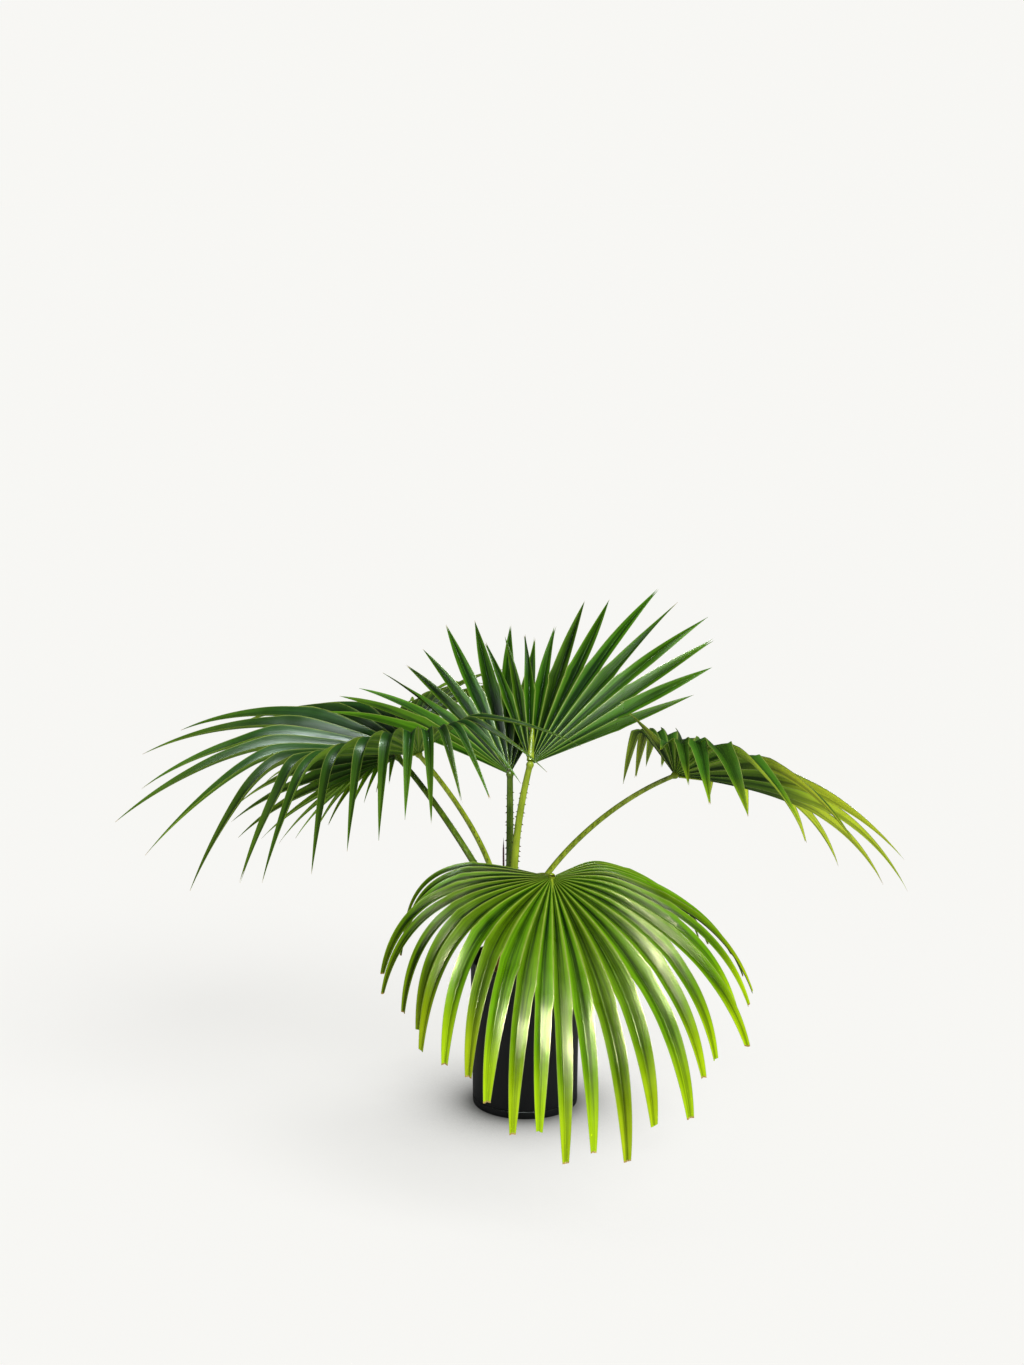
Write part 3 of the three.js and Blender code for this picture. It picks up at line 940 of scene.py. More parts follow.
@dataclass
class Blade:
    """The blade of one fan as one thin skin: pleated where it is whole, then leaflets with their own tips.

    Attributes:
        rule: the fan's rule.
        materials: one for each Face.
        jitter: how far free leaflets stray.
        tip_seed: how far the tips' row of chance lies from the fan's own.
        pleat: height of the pleats, as a part of a leaflet's half width.
        slack: width of a leaflet once it is free, as a part of its room.
        lamina: thickness of the leaf.
        rib: thickness at the midrib.
        bulge: how far each half of a leaflet is arched, as a part of its half width.
        point: least half width at the tip.
        columns: places over a leaflet, from -1 at its left ridge through 0 at its midrib.
        joined_rows: rows of faces of the whole part.
        free_rows: rows of faces of a free leaflet.
    """

    rule: FanRule
    materials: list[bpy.types.Material]
    jitter: Jitter = Jitter()
    tip_seed: int = 1000
    pleat: float = 0.34
    slack: float = 0.86
    lamina: float = 0.55
    rib: float = 1.3
    bulge: float = 0.07
    point: float = 0.35
    columns: tuple[float, ...] = (-1, -0.94, -0.63, -0.33, -0.035, 0.035, 0.33, 0.63, 0.94, 1)
    joined_rows: int = 26
    free_rows: int = 36

    def build(self) -> bpy.types.Object:
        """Makes the blade.

        Returns:
            The blade's one piece.
        """
        lines = self.rule.lines(np.linspace(*self.rule.fan, 2 * self.rule.count + 1))
        leaflets = self._leaflets(lines)
        t = np.array(self.columns, float)
        joined, joined_face = self._joined(lines, t)
        free, free_face, shares = self._free(lines, leaflets, t)
        surface = np.concatenate([joined, free], 1)
        face = np.concatenate([joined_face, free_face], 1)
        split = lines.split[1::2, None]
        part = np.linspace(0, 1, self.joined_rows + 1)[None] * split
        gone = np.concatenate([part, split + (1 - split) * shares[None]], 1)
        length = gone[..., None]
        half = self.lamina * (1 - 0.3 * np.abs(t)) * (1 - 0.35 * length) / 2
        rib = np.where(np.abs(t) < 0.1, self.rib - self.lamina, 0.0) * (1 - 0.75 * length)
        draft = Draft()
        top = self._share_ridges(draft, surface + face * half[..., None])
        under = self._share_ridges(draft, surface - face * (half + rib)[..., None])
        self._skin(draft, top, under, gone, shares[None, :] > leaflets["dry"][:, None])
        return draft.make(f"leaf_{self.rule.name}", self.materials, 28.0)

    def _leaflets(self, lines: "Lines") -> dict[str, np.ndarray]:
        """Each leaflet's own loose line, twist, tip and the room it has where it parts.

        Args:
            lines: the fan's ridges and midribs.

        Returns:
            Arrays by name, one entry a leaflet.
        """
        rule, n = self.rule, self.rule.count
        random = Random(rule.seed)
        strays = ("length", "droop", "side", "twist")
        draws = np.array([[random.spread(getattr(self.jitter, k)) for k in strays] for _ in range(n)])
        draws[:, 2:] *= rule.stray
        theta = rule.fan[0] + (np.arange(n) + 0.5) * (rule.fan[1] - rule.fan[0]) / n
        line = rule.lines(theta, dict(zip(strays[:3], draws.T)))
        edges = lines.at(lines.split[:, None])[::2, 0]
        chance = Random(rule.seed + self.tip_seed)
        blunt = rule.cut > 0
        notch, dry, slant = ((0.0, 0.01), 0.99, 0.02) if blunt else ((-0.05, 0.13), 0.984, 0.0)
        tips = np.array([
            (max(0.0, chance.between(*notch)), chance.between(dry, 1.004), chance.spread(slant),
             chance.between(0.0, 2.5))
            for _ in range(n)])
        return {
            "line": line, "twist": draws[:, 3], "over": unit(edges[1:] - edges[:-1]),
            "room": np.linalg.norm(edges[1:] - edges[:-1], axis=1) / 2,
            "notch": tips[:, 0], "dry": tips[:, 1], "slant": tips[:, 2], "fork": tips[:, 3],
        }

    def _joined(self, lines: "Lines", t: np.ndarray) -> tuple[np.ndarray, np.ndarray]:
        """The whole part of the blade.

        Args:
            lines: the fan's ridges and midribs, ridge first.
            t: the columns.

        Returns:
            Points and upper face of the mean surface, (leaflets, rows, columns, 3).
        """
        u = np.linspace(0, 1, self.joined_rows + 1)[None, :] * lines.split[:, None]
        place, way = lines.at(u), lines.way(u)
        order = np.arange(len(place))
        before = place[np.maximum(order - 1, 0)]
        after = place[np.minimum(order + 1, len(place) - 1)]
        over = squared(after - before, way)
        face = np.cross(over, way)
        half = np.linalg.norm(after - before, axis=-1) / 2
        sign = np.where(order % 2 == 0, 1.0, -1.0)[:, None]
        surface = place + face * (self.pleat * half * sign)[..., None]
        left = (t < 0)[None, None, :, None]
        ridge, ridge_face = (np.where(left, a[:-2:2, :, None], a[2::2, :, None]) for a in (surface, face))
        w = np.abs(t)[None, None, :, None]
        plump = np.sin(np.pi * w) * self.bulge * half[1::2, :, None, None]
        normal = unit(face[1::2, :, None] * (1 - w) + ridge_face * w)
        return surface[1::2, :, None] * (1 - w) + ridge * w + normal * plump, normal

    def _free(self, lines: "Lines", leaflets: dict[str, np.ndarray],
              t: np.ndarray) -> tuple[np.ndarray, np.ndarray, np.ndarray]:
        """The leaflets past the parting.

        Args:
            lines: the fan's ridges and midribs.
            leaflets: what _leaflets gives.
            t: the columns.

        Returns:
            Points and upper face of the mean surface, and each row's share of the free length.
        """
        rule, line = self.rule, leaflets["line"]
        shares = 1 - (1 - np.linspace(0, 1, self.free_rows + 1)[1:]) ** 1.25
        split = line.split[:, None]
        way = line.way(split + (1 - split) * shares[None, :])
        start = lines.at(lines.split[:, None])[1::2, 0] - line.at(split)[:, 0]
        over = leaflets["over"]
        w = np.abs(t)[None, :, None]
        forked = leaflets["fork"] * (leaflets["notch"] > 0.03)
        middle, normal = [], []
        for row, share in enumerate(shares):
            over = squared(over, way[:, row])
            face = np.cross(over, way[:, row])
            twist = leaflets["twist"][:, None] * share
            turned = over * np.cos(twist) + face * np.sin(twist)
            facing = np.cross(turned, way[:, row])
            settled = 1 + (self.slack - 1) * smooth(share / 0.15)
            half = leaflets["room"] * settled * (1 - share**rule.taper * (1 - rule.cut))
            half = np.maximum(half, self.point)[:, None, None]
            notch, slant = (share**8 * leaflets[key][:, None] for key in ("notch", "slant"))
            back = np.maximum(notch * (1 - np.abs(t)) + slant * t, 0)
            at = line.at(split + (1 - split) * (share - back))
            fork = (share**10 * forked)[:, None, None]
            pleat = self.pleat * (1 - 0.3 * smooth(share))
            across = turned[:, None] * (half + fork) * t[None, :, None]
            rise = facing[:, None] * half * (pleat * (2 * w - 1) + np.sin(np.pi * w) * self.bulge)
            middle.append(at + across + rise + start[:, None] * (1 - smooth(share / 0.35)))
            normal.append(np.broadcast_to(facing[:, None], at.shape))
        return np.stack(middle, 1), np.stack(normal, 1), shares

    def _share_ridges(self, draft: Draft, whole: np.ndarray) -> np.ndarray:
        """Adds one side's points, with the ridges of the whole part shared by neighbours.

        Args:
            draft: where the points go.
            whole: (leaflets, rows, columns, 3).

        Returns:
            Point indices, (leaflets, rows, columns).
        """
        joined = self.joined_rows + 1
        near = whole[:, :joined]
        near[1:, :, 0] = (near[1:, :, 0] + near[:-1, :, -1]) / 2
        ids = np.empty(whole.shape[:-1], int)
        ids[:, :joined, :-1] = draft.add(near[:, :, :-1])
        ids[:-1, :joined, -1] = ids[1:, :joined, 0]
        ids[-1, :joined, -1] = draft.add(near[-1, :, -1])
        ids[:, joined:] = draft.add(whole[:, joined:])
        return ids

    def _skin(self, draft: Draft, top: np.ndarray, under: np.ndarray, gone: np.ndarray,
              dry: np.ndarray) -> None:
        """Adds both sides and the edges between them, with their slots and maps.

        The Leaf map holds a leaflet's number and place over it, and the part of the length gone. The bake map
        gives each leaflet an upright strip: its upper side in the lower half, its under side in the upper.

        Args:
            draft: where the faces go.
            top: point indices of the upper side.
            under: point indices of the under side.
            gone: part of the length gone, (leaflets, rows).
            dry: whether a free row is dry, (leaflets, free rows).
        """
        n, rows, cols = top.shape
        t = np.array(self.columns)
        number = np.arange(n)[:, None, None]
        leaf = np.stack(np.broadcast_arrays(number + 0.5 + 0.49 * t, gone[:, :, None]), -1)
        up = 0.01 + 0.48 * np.linspace(0, 1, rows)[None, :, None]
        strip = np.stack(np.broadcast_arrays((number + 0.08 + 0.42 * (t + 1)) / n, up), -1)
        wilted = np.concatenate([np.zeros((n, self.joined_rows), bool), dry], 1)
        margins, midrib = [0, cols - 2], [cols // 2 - 1]
        sides = ((top, 1, Face.UPPER, 0.0, margins), (under, -1, Face.UNDER, 0.5, margins + midrib))
        for ids, order, side, lift, pale in sides:
            edge = np.isin(np.arange(cols - 1), pale)
            slot = np.where(wilted[..., None], Face.DRY.value, np.where(edge, Face.RIB.value, side.value))
            bake = strip + np.array([0.0, lift])
            draft.quads(cells(ids, order), slot, Leaf=cells(leaf, order), OFBake=cells(bake, order))
        for i in range(n):
            for col, first, second, whole, step in ((0, top, under, i == 0, -0.03),
                                                    (cols - 1, under, top, i == n - 1, 0.015)):
                start = 0 if whole else self.joined_rows
                slots = np.where(wilted[i, start:], Face.DRY.value, Face.RIB.value)
                where = strip[i, start:, col] + np.array([step / n, 0.0])
                self._edge(draft, first[i, start:, col], second[i, start:, col], where, slots)
            self._edge(draft, under[i, 0], top[i, 0], strip[i, 0] + np.array([0.0, -0.006]), Face.RIB.value)
            self._edge(draft, top[i, -1], under[i, -1], strip[i, -1] + np.array([0.0, 0.004]), Face.DRY.value)

    def _edge(self, draft: Draft, a: np.ndarray, b: np.ndarray, where: np.ndarray,
              slot: np.ndarray | int) -> None:
        """Adds a strip of faces between two rows of points, outward for a before b.

        Args:
            draft: where the faces go.
            a: point indices of one row.
            b: point indices of the other.
            where: the row's places on the bake map.
            slot: material slot of each face, or one for all.
        """
        quad = np.stack([a[:-1], a[1:], b[1:], b[:-1]], -1)
        beside = where + np.array([0.012 / self.rule.count, 0.0])
        bake = np.stack([where[:-1], where[1:], beside[1:], beside[:-1]], 1)
        draft.quads(quad, slot, Leaf=np.broadcast_to([0.99, 0.5], bake.shape), OFBake=bake)


# ---- Stalks --------------------------------------------------------------------------------------------


def between_ends(ends: tuple[float, float], share: np.ndarray | float) -> np.ndarray | float:
    """A value that runs evenly from the first end's to the last end's."""
    return ends[0] + (ends[1] - ends[0]) * share


@dataclass
class Stalk:
    """A fan's stalk with its edge teeth, the rib that it sends under the blade and the small hood at the hub.

    Attributes:
        rule: the rule of the fan that it carries.
        materials: one for the skin, one for teeth and hood.
        trunk_top: height that it stands on.
        width: width at foot and hub.
        thick: thickness at foot and hub.
        flat_top: height of the upper face, as a part of the lower one's.
        sides: points round it.
        steps: steps along it.
        teeth_every: mean distance between teeth.
        toothed: the part of the length that has teeth.
        toothed_from: where they start, as a part of the length.
        tooth: height of a tooth at foot and hub.
        tooth_seed: how far the teeth's row of chance lies from the fan's own.
        costa: length of the rib under the blade.
        hood: length of the hood.
        front_strip: length of the strip on the blade's upper face, 0 for none.
    """

    rule: FanRule
    materials: list[bpy.types.Material]
    trunk_top: float
    width: tuple[float, float] = (16.5, 12.0)
    thick: tuple[float, float] = (14.0, 10.5)
    flat_top: float = 0.72
    sides: int = 20
    steps: int = 90
    teeth_every: float = 13.0
    toothed: float = 0.86
    toothed_from: float = 0.06
    tooth: tuple[float, float] = (4.4, 2.4)
    tooth_seed: int = 500
    costa: float = 70.0
    hood: float = 11.0
    front_strip: float = 0.0

    def path(self) -> tuple[np.ndarray, np.ndarray, float]:
        """The middle line at even parts of its length.

        Returns:
            Points, ways and the whole length.
        """
        foot, *pulls_and_hub = self.rule.stalk
        a, b, c, d = np.array([(*foot, self.trunk_top + GAP), *pulls_and_hub], float)
        s = np.linspace(0, 1, 600)[:, None]
        fine = (1 - s) ** 3 * a + 3 * (1 - s) ** 2 * s * b + 3 * (1 - s) * s**2 * c + s**3 * d
        run = np.concatenate([[0], np.cumsum(np.linalg.norm(np.diff(fine, axis=0), axis=1))])
        even = np.linspace(0, run[-1] - self.rule.hub_radius + GAP, self.steps + 1)
        points = np.stack([np.interp(even, run, fine[:, k]) for k in range(3)], 1)
        return points, unit(np.gradient(points, axis=0)), float(run[-1])

    def build(self) -> bpy.types.Object:
        """Makes the stalk.

        Returns:
            The stalk's one piece.
        """
        points, ways, length = self.path()
        share = np.linspace(0, 1, self.steps + 1)[:, None]
        half_w, half_t = (between_ends(ends, share) / 2 for ends in (self.width, self.thick))
        over = squared(self.rule.axes()[1] + 0 * ways, ways)
        face = np.cross(over, ways)
        a = -circle(self.sides)
        keen = np.sign(np.cos(a)) * np.abs(np.cos(a)) ** 0.85
        tall = np.sin(a) * np.where(np.sin(a) < 0, 1.0, self.flat_top)
        rings = swept(points, over, face, half_w * keen, half_t * tall)
        rings[0] += ways[0] * ((self.trunk_top + GAP - rings[0, :, 2]) / ways[0, 2])[:, None]
        knuckle = self.rule.hub_radius - GAP
        round_hub = over[-1] * np.cos(a)[:, None] + face[-1] * np.sin(a)[:, None]
        ball = [self.rule.hub + ways[-1] * s * knuckle + round_hub * knuckle * math.sqrt(1 - s * s)
                for s in (-0.5, -0.2, 0.1, 0.4, 0.7, 0.92)]
        draft = Draft()
        draft.tube(np.concatenate([rings, np.stack(ball)]))
        self._teeth(draft, points, ways, over, half_w[:, 0], length)
        self._strip(draft, self.costa, self.width[1] * 0.75, -0.3, 0.8)
        if self.front_strip:
            self._strip(draft, self.front_strip, self.width[1] * 1.12, 0.3, 0.45)
        self._hood(draft)
        return draft.make(f"petiole_{self.rule.name}", self.materials, 40.0)

    def _teeth(self, draft: Draft, points: np.ndarray, ways: np.ndarray, over: np.ndarray,
               half_w: np.ndarray, length: float) -> None:
        """Adds the small hooked teeth along both edges.

        Args:
            draft: where they go.
            points: the middle line.
            ways: its ways.
            over: across the stalk, square to its way.
            half_w: half the width.
            length: the stalk's length.
        """
        chance = Random(self.rule.seed + self.tooth_seed)
        count = int(length * self.toothed / self.teeth_every)
        for sign in (-1.0, 1.0):
            for j in range(count):
                share = self.toothed_from + self.toothed * (j + chance.between(0.2, 0.8)) / count
                row = int(share * self.steps)
                size = between_ends(self.tooth, share) * chance.between(0.7, 1.15)
                out, along = over[row] * sign, ways[row]
                thin = np.cross(out, along)
                base = points[row] + out * (half_w[row] - 0.5)
                ring = base + size * np.stack([along * -0.6, thin * -0.28, along * 0.6, thin * 0.28])
                tip = base + out * (size + 0.5) - along * size * 0.35
                waist = base * 0.45 + tip * 0.55 + (ring - base) * 0.4
                rings = np.array([ring, waist, tip + (ring - base) * 0.04])
                draft.tube(rings[:, ::-1] if sign > 0 else rings, 1)

    def _strip(self, draft: Draft, length: float, width: float, lift: float, taper: float) -> None:
        """Adds a tapering half-round rib over or under the middle of the blade.

        Args:
            draft: where it goes.
            length: how far it runs from the hub.
            width: its width at the hub.
            lift: its middle's height over the pleats, as a part of its half width, below 0 for under them.
            taper: how early it narrows.
        """
        low, high = self.rule.fan
        line = self.rule.lines(np.array([(low + high) / 2 * 0.15]))
        u = np.linspace(0.0, length / line.length[0], 18)[None]
        place, way = line.at(u)[0], line.way(u)[0]
        over = squared(self.rule.axes()[1] + 0 * way, way)
        share = np.linspace(0, 1, len(place))[:, None]
        half = width / 2 * (1 - share) ** taper + 0.35
        leaflet = math.radians((high - low) / self.rule.count)
        pleat = Blade.pleat * (self.rule.hub_radius + share * length) * leaflet / 2
        a = -circle(10)
        rise = half * 0.6 * np.sin(a) + lift * half + math.copysign(1, lift) * pleat
        draft.tube(swept(place, over, np.cross(over, way), half * np.cos(a), rise))

    def _hood(self, draft: Draft) -> None:
        """Adds the small pointed hood where the stalk, or its strip, ends on the blade's upper face.

        Args:
            draft: where the points and faces go.
        """
        ahead, side, face = self.rule.axes()
        lift = math.radians(float(self.rule.across("lift", np.array([0.0]))[0]))
        up = face * math.cos(lift) - ahead * math.sin(lift)
        on = self.rule.hub + up * self.rule.hub_radius * 0.55 + ahead * 2.0
        if self.front_strip:
            on = on + ahead * (self.front_strip - self.hood * 0.8)
        share = np.linspace(0, 1, 7)[:, None]
        half = self.hood * 0.55 * (1 - share**1.6) + 0.3
        line = on + (up * 0.55 + ahead * 0.85) * self.hood * share * 0.9
        x = half * np.array([-1, -0.5, 0, 0.5, 1, 0.5, 0, -0.5])
        y = np.array([0, 0.6, 0.8, 0.6, 0, -0.2, -0.3, -0.2]) * (1 - 0.6 * share)
        draft.tube(swept(line, side + 0 * line, up + 0 * line, x, y)[:, ::-1], 1)


# ---- Trunk, dead spear, soil and pot -------------------------------------------------------------------


class Wood(Enum):
    """The material slots of the trunk."""

    FIBRE = 0
    LEAF_BASE = 1
    STRAND = 2
    SHEATH = 3


@dataclass
class Trunk:
    """The short swollen stem: matted fibre, clasping leaf bases and loose strands.

    Attributes:
        materials: one for each Wood.
        base: height of its flat foot.
        rings: height over the foot, radius, and how far the middle has moved from foot to head, of each ring.
        foot: middle of its foot.
        head: middle of its head.
        lobes: swellings round it.
        lobe_depth: their height, as a part of the radius.
        around: points round it.
        rows: rings of its skin.
        relief: height of the fibre's relief.
        relief_fade: heights over which it fades at the foot and at the head.
        mound: height of the tuft that closes the head, which the old leaf bases rise to as well.
        lean_in: how fast what rises past the head leans in.
        bases: number of old leaf bases.
        strands: number of loose strands.
        sheath_below: how far under the head a sheath starts to leave the stem for its stalk.
        sheath_over: height over which it does.
        seed: where its rows of chance start.
    """

    materials: list[bpy.types.Material]
    base: float
    rings: tuple[tuple[float, float, float], ...] = (
        (0, 55, 0), (8, 57, 0.02), (26, 52, 0.2), (50, 46, 0.45), (75, 41, 0.7), (96, 38, 0.9), (106, 36, 1))
    foot: tuple[float, float] = (-20.0, 0.0)
    head: tuple[float, float] = (-26.0, 0.0)
    lobes: int = 9
    lobe_depth: float = 0.05
    around: int = 220
    rows: int = 90
    relief: float = 2.6
    relief_fade: tuple[float, float] = (6.0, 8.0)
    mound: float = 13.0
    lean_in: float = 0.013
    bases: int = 17
    strands: int = 560
    sheath_below: float = 34.0
    sheath_over: float = 44.0
    seed: int = 7

    @property
    def tall(self) -> float:
        """Height of the flat cut that carries the stalks, over the foot."""
        return self.rings[-1][0]

    @property
    def top(self) -> float:
        """Height of the flat cut that carries the stalks."""
        return self.base + self.tall

    def surface(self, angle: np.ndarray, h: np.ndarray) -> np.ndarray:
        """Points of the smooth stem.

        Args:
            angle: angles round it.
            h: heights over its foot.

        Returns:
            The points.
        """
        heights, radii, shifts = np.array(self.rings, float).T
        radius = np.interp(h, heights, radii) * (1 + self.lobe_depth * np.cos(self.lobes * angle + h / 30))
        radius = radius * (1 - self.lean_in * np.maximum(h - heights[-1], 0))
        x, y = (between_ends(ends, np.interp(h, heights, shifts)) for ends in zip(self.foot, self.head))
        return np.stack([x + radius * np.cos(angle), y + radius * np.sin(angle), self.base + h], -1)

    def build(self) -> bpy.types.Object:
        """Makes the trunk.

        Returns:
            The trunk's one piece.
        """
        h = np.linspace(0, self.tall, self.rows)[:, None]
        angle = circle(self.around)[None] + 0 * h
        skin = self.surface(angle, h + 0 * angle)
        middle = np.stack([skin[..., 0].mean(1), skin[..., 1].mean(1), h[:, 0] + self.base], -1)[:, None]
        bumps = np.array([[self._bump(p) for p in row] for row in skin])
        at_foot, at_head = self.relief_fade
        fade = smooth(np.minimum(h / at_foot, (self.tall - h) / at_head))
        skin += unit((skin - middle) * [1, 1, 0]) * ((bumps - 0.6) * self.relief * fade)[..., None]
        rim, top = skin[-1], skin[-1].mean(0)
        tufts = []
        for share in (0.94, 0.8, 0.6, 0.35, 0.1):
            rise = 2.5 * np.array([self._bump(p * 2.0) for p in rim * share]) + self.mound * (1 - share**2)
            tufts.append(top + (rim - top) * share + UP * rise[:, None])
        draft = Draft()
        draft.tube(np.concatenate([skin, np.stack(tufts)]), Wood.FIBRE.value)
        self._leaf_bases(draft)
        self._sheaths(draft)
        self._loose_strands(draft)
        return draft.make("stem", self.materials, 50.0)

    def _bump(self, p: np.ndarray) -> float:
        """Relief of the matted fibre at a point: upright cords over broad swellings."""
        cords = noise.noise(Vector((p[0] * 0.35, p[1] * 0.35, p[2] * 0.045)))
        broad = noise.noise(Vector((p[0] * 0.06, p[1] * 0.06, p[2] * 0.05)) + Vector((9, 3, 1)))
        return cords * 0.9 + broad * 1.1

    def _leaf_bases(self, draft: Draft) -> None:
        """Adds the broad pointed bases of old leaves that clasp the stem, one above the other in a spiral.

        Args:
            draft: where the points and faces go.
        """
        chance = Random(self.seed + 40)
        s, x = np.linspace(0, 1, 20)[:, None], np.linspace(-1, 1, 15)[None]
        narrow = (1 - 0.55 * s**1.5) * (1 - 0.25 * (1 - s) ** 4)
        stand = 1.2 + 2.6 * smooth(s * 1.4) * (1 - 0.5 * np.abs(x) ** 2.5)
        ridged = 0.35 * np.cos(x * 22) * (1 - 0.4 * s)
        for j in range(self.bases):
            turn = 2.4 * j + chance.spread(0.25)
            low = 6 + self.tall * 0.66 * j / self.bases
            high = min(self.tall + self.mound, low + chance.between(46, 60))
            h = low + (high - low) * s + 0 * x
            skin = self.surface(turn + chance.between(0.42, 0.6) * narrow * x, h)
            middle = np.stack([0 * h + self.foot[0] - 4, 0 * h, h + self.base], -1)
            out = unit((skin - middle) * [1, 1, 0])
            wave = 0.4 * np.sin(6 * s + 3 * turn)
            outer = skin + out * (stand + ridged + wave)[..., None]
            draft.slab(outer, skin - out * 1.5, Wood.LEAF_BASE.value)

    def _sheaths(self, draft: Draft) -> None:
        """Wraps each stalk's foot in its own base, which rises from the shoulder to a ragged tongue.

        Args:
            draft: where the points and faces go.
        """
        chance = Random(self.seed + 90)
        s, x = np.linspace(0, 1, 28)[:, None], np.linspace(-1, 1, 19)[None]
        on_stem = (0.62 - 0.2 * s) * (1 - 0.35 * (1 - s) ** 3) * x
        on_stalk = x * (1.9 - 0.5 * s)
        stand = 2.4 * smooth(s * 2) * (1 - 0.4 * np.abs(x) ** 3) + 0.4 * np.cos(x * 26) * (1 - 0.5 * s)
        thick = (2.6 - 1.5 * s + 0 * x)[..., None]
        for rule in FANS:
            foot = np.array([*rule.stalk[0], self.top])
            way = unit(np.array(rule.stalk[1]) - foot)
            turn = math.atan2(foot[1] - self.head[1], foot[0] - self.head[0])
            low, high = self.tall - chance.between(40, 58), self.tall + chance.between(18, 34)
            ragged = high - 22 * np.abs(x) ** 1.5 + 2.5 * np.sin(9 * x + turn) * (1 - np.abs(x))
            h = low + (ragged - low) * s
            clasp, hug = turn + on_stem, turn + on_stalk
            skin = self.surface(clasp, np.minimum(h, self.tall))
            skin[..., 2] = self.base + h
            core = foot + way * ((h - self.tall) / way[2])[..., None]
            around = core + outward(hug) * (10.5 - 1.6 * s)[..., None]
            onto = smooth((h - self.tall + self.sheath_below) / self.sheath_over)
            out = outward(clasp * (1 - onto) + hug * onto)
            onto = onto[..., None]
            outer = skin * (1 - onto) + around * onto + out * stand[..., None]
            draft.slab(outer, outer - out * thick, Wood.SHEATH.value)

    def _loose_strands(self, draft: Draft) -> None:
        """Adds thin fibres that run up the stem and stand a little off it.

        Args:
            draft: where the points and faces go.
        """
        chance = Random(self.seed)
        s = np.linspace(0, 1, 7)
        for _ in range(self.strands):
            turn = chance.between(0, TURN)
            low = chance.between(1, self.tall - 4)
            high = min(self.tall + chance.between(4, 26), low + chance.between(14, 46))
            angle = turn + chance.spread(0.45) * s + 0.05 * np.sin(s * 5 + turn)
            out = outward(angle)
            loose, turn_back = chance.between(0.4, 3.2), chance.between(0.55, 1.0)
            stand = 1.6 + loose * np.sin(math.pi * np.minimum(s * turn_back, 1))
            core = self.surface(angle, low + (high - low) * s) + out * stand[:, None]
            over = unit(np.cross(unit(np.gradient(core, axis=0)), out))
            wide = chance.between(0.25, 0.55) * (1 - 0.6 * s)[:, None]
            side, off = over * wide, out * wide
            rings = np.stack([core + side, core + off, core - side, core - off * 0.5], 1)
            draft.tube(rings, (Wood.STRAND if chance.next() < 0.35 else Wood.FIBRE).value)


@dataclass
class DeadSpear:
    """The dry unopened leaf between the stalks: a folded, tapering spear.

    Attributes:
        materials: one material.
        trunk_top: height that it stands on.
        foot: middle of its foot.
        tip: its tip.
        radius: half its thickness at the foot.
        sides: points round it.
        rows: rings along it.
    """

    materials: list[bpy.types.Material]
    trunk_top: float
    foot: tuple[float, float] = (-43.0, -22.0)
    tip: Spot = (-42.0, -12.0, 548.0)
    radius: float = 3.2
    sides: int = 16
    rows: int = 50

    def build(self) -> bpy.types.Object:
        """Makes the spear.

        Returns:
            The spear's one piece.
        """
        low = np.array([*self.foot, self.trunk_top + GAP])
        s = np.linspace(0, 1, self.rows)[:, None]
        line = low + (np.array(self.tip) - low) * s
        line[:, 0] += 0.5 * np.sin(s[:, 0] * 5)
        a = circle(self.sides)
        radius = self.radius * (1 - 0.6 * s) * (1 - smooth((s - 0.85) / 0.15) * 0.85)
        pleats = 1 + 0.14 * np.cos(5 * a + 2.5 * s) + 0.05 * np.sin(9 * s + 2 * a)
        draft = Draft()
        draft.tube(line[:, None] + outward(a) * [1.0, 0.8, 1.0] * (radius * pleats)[..., None])
        return draft.make("dry_spear", self.materials, 50.0)


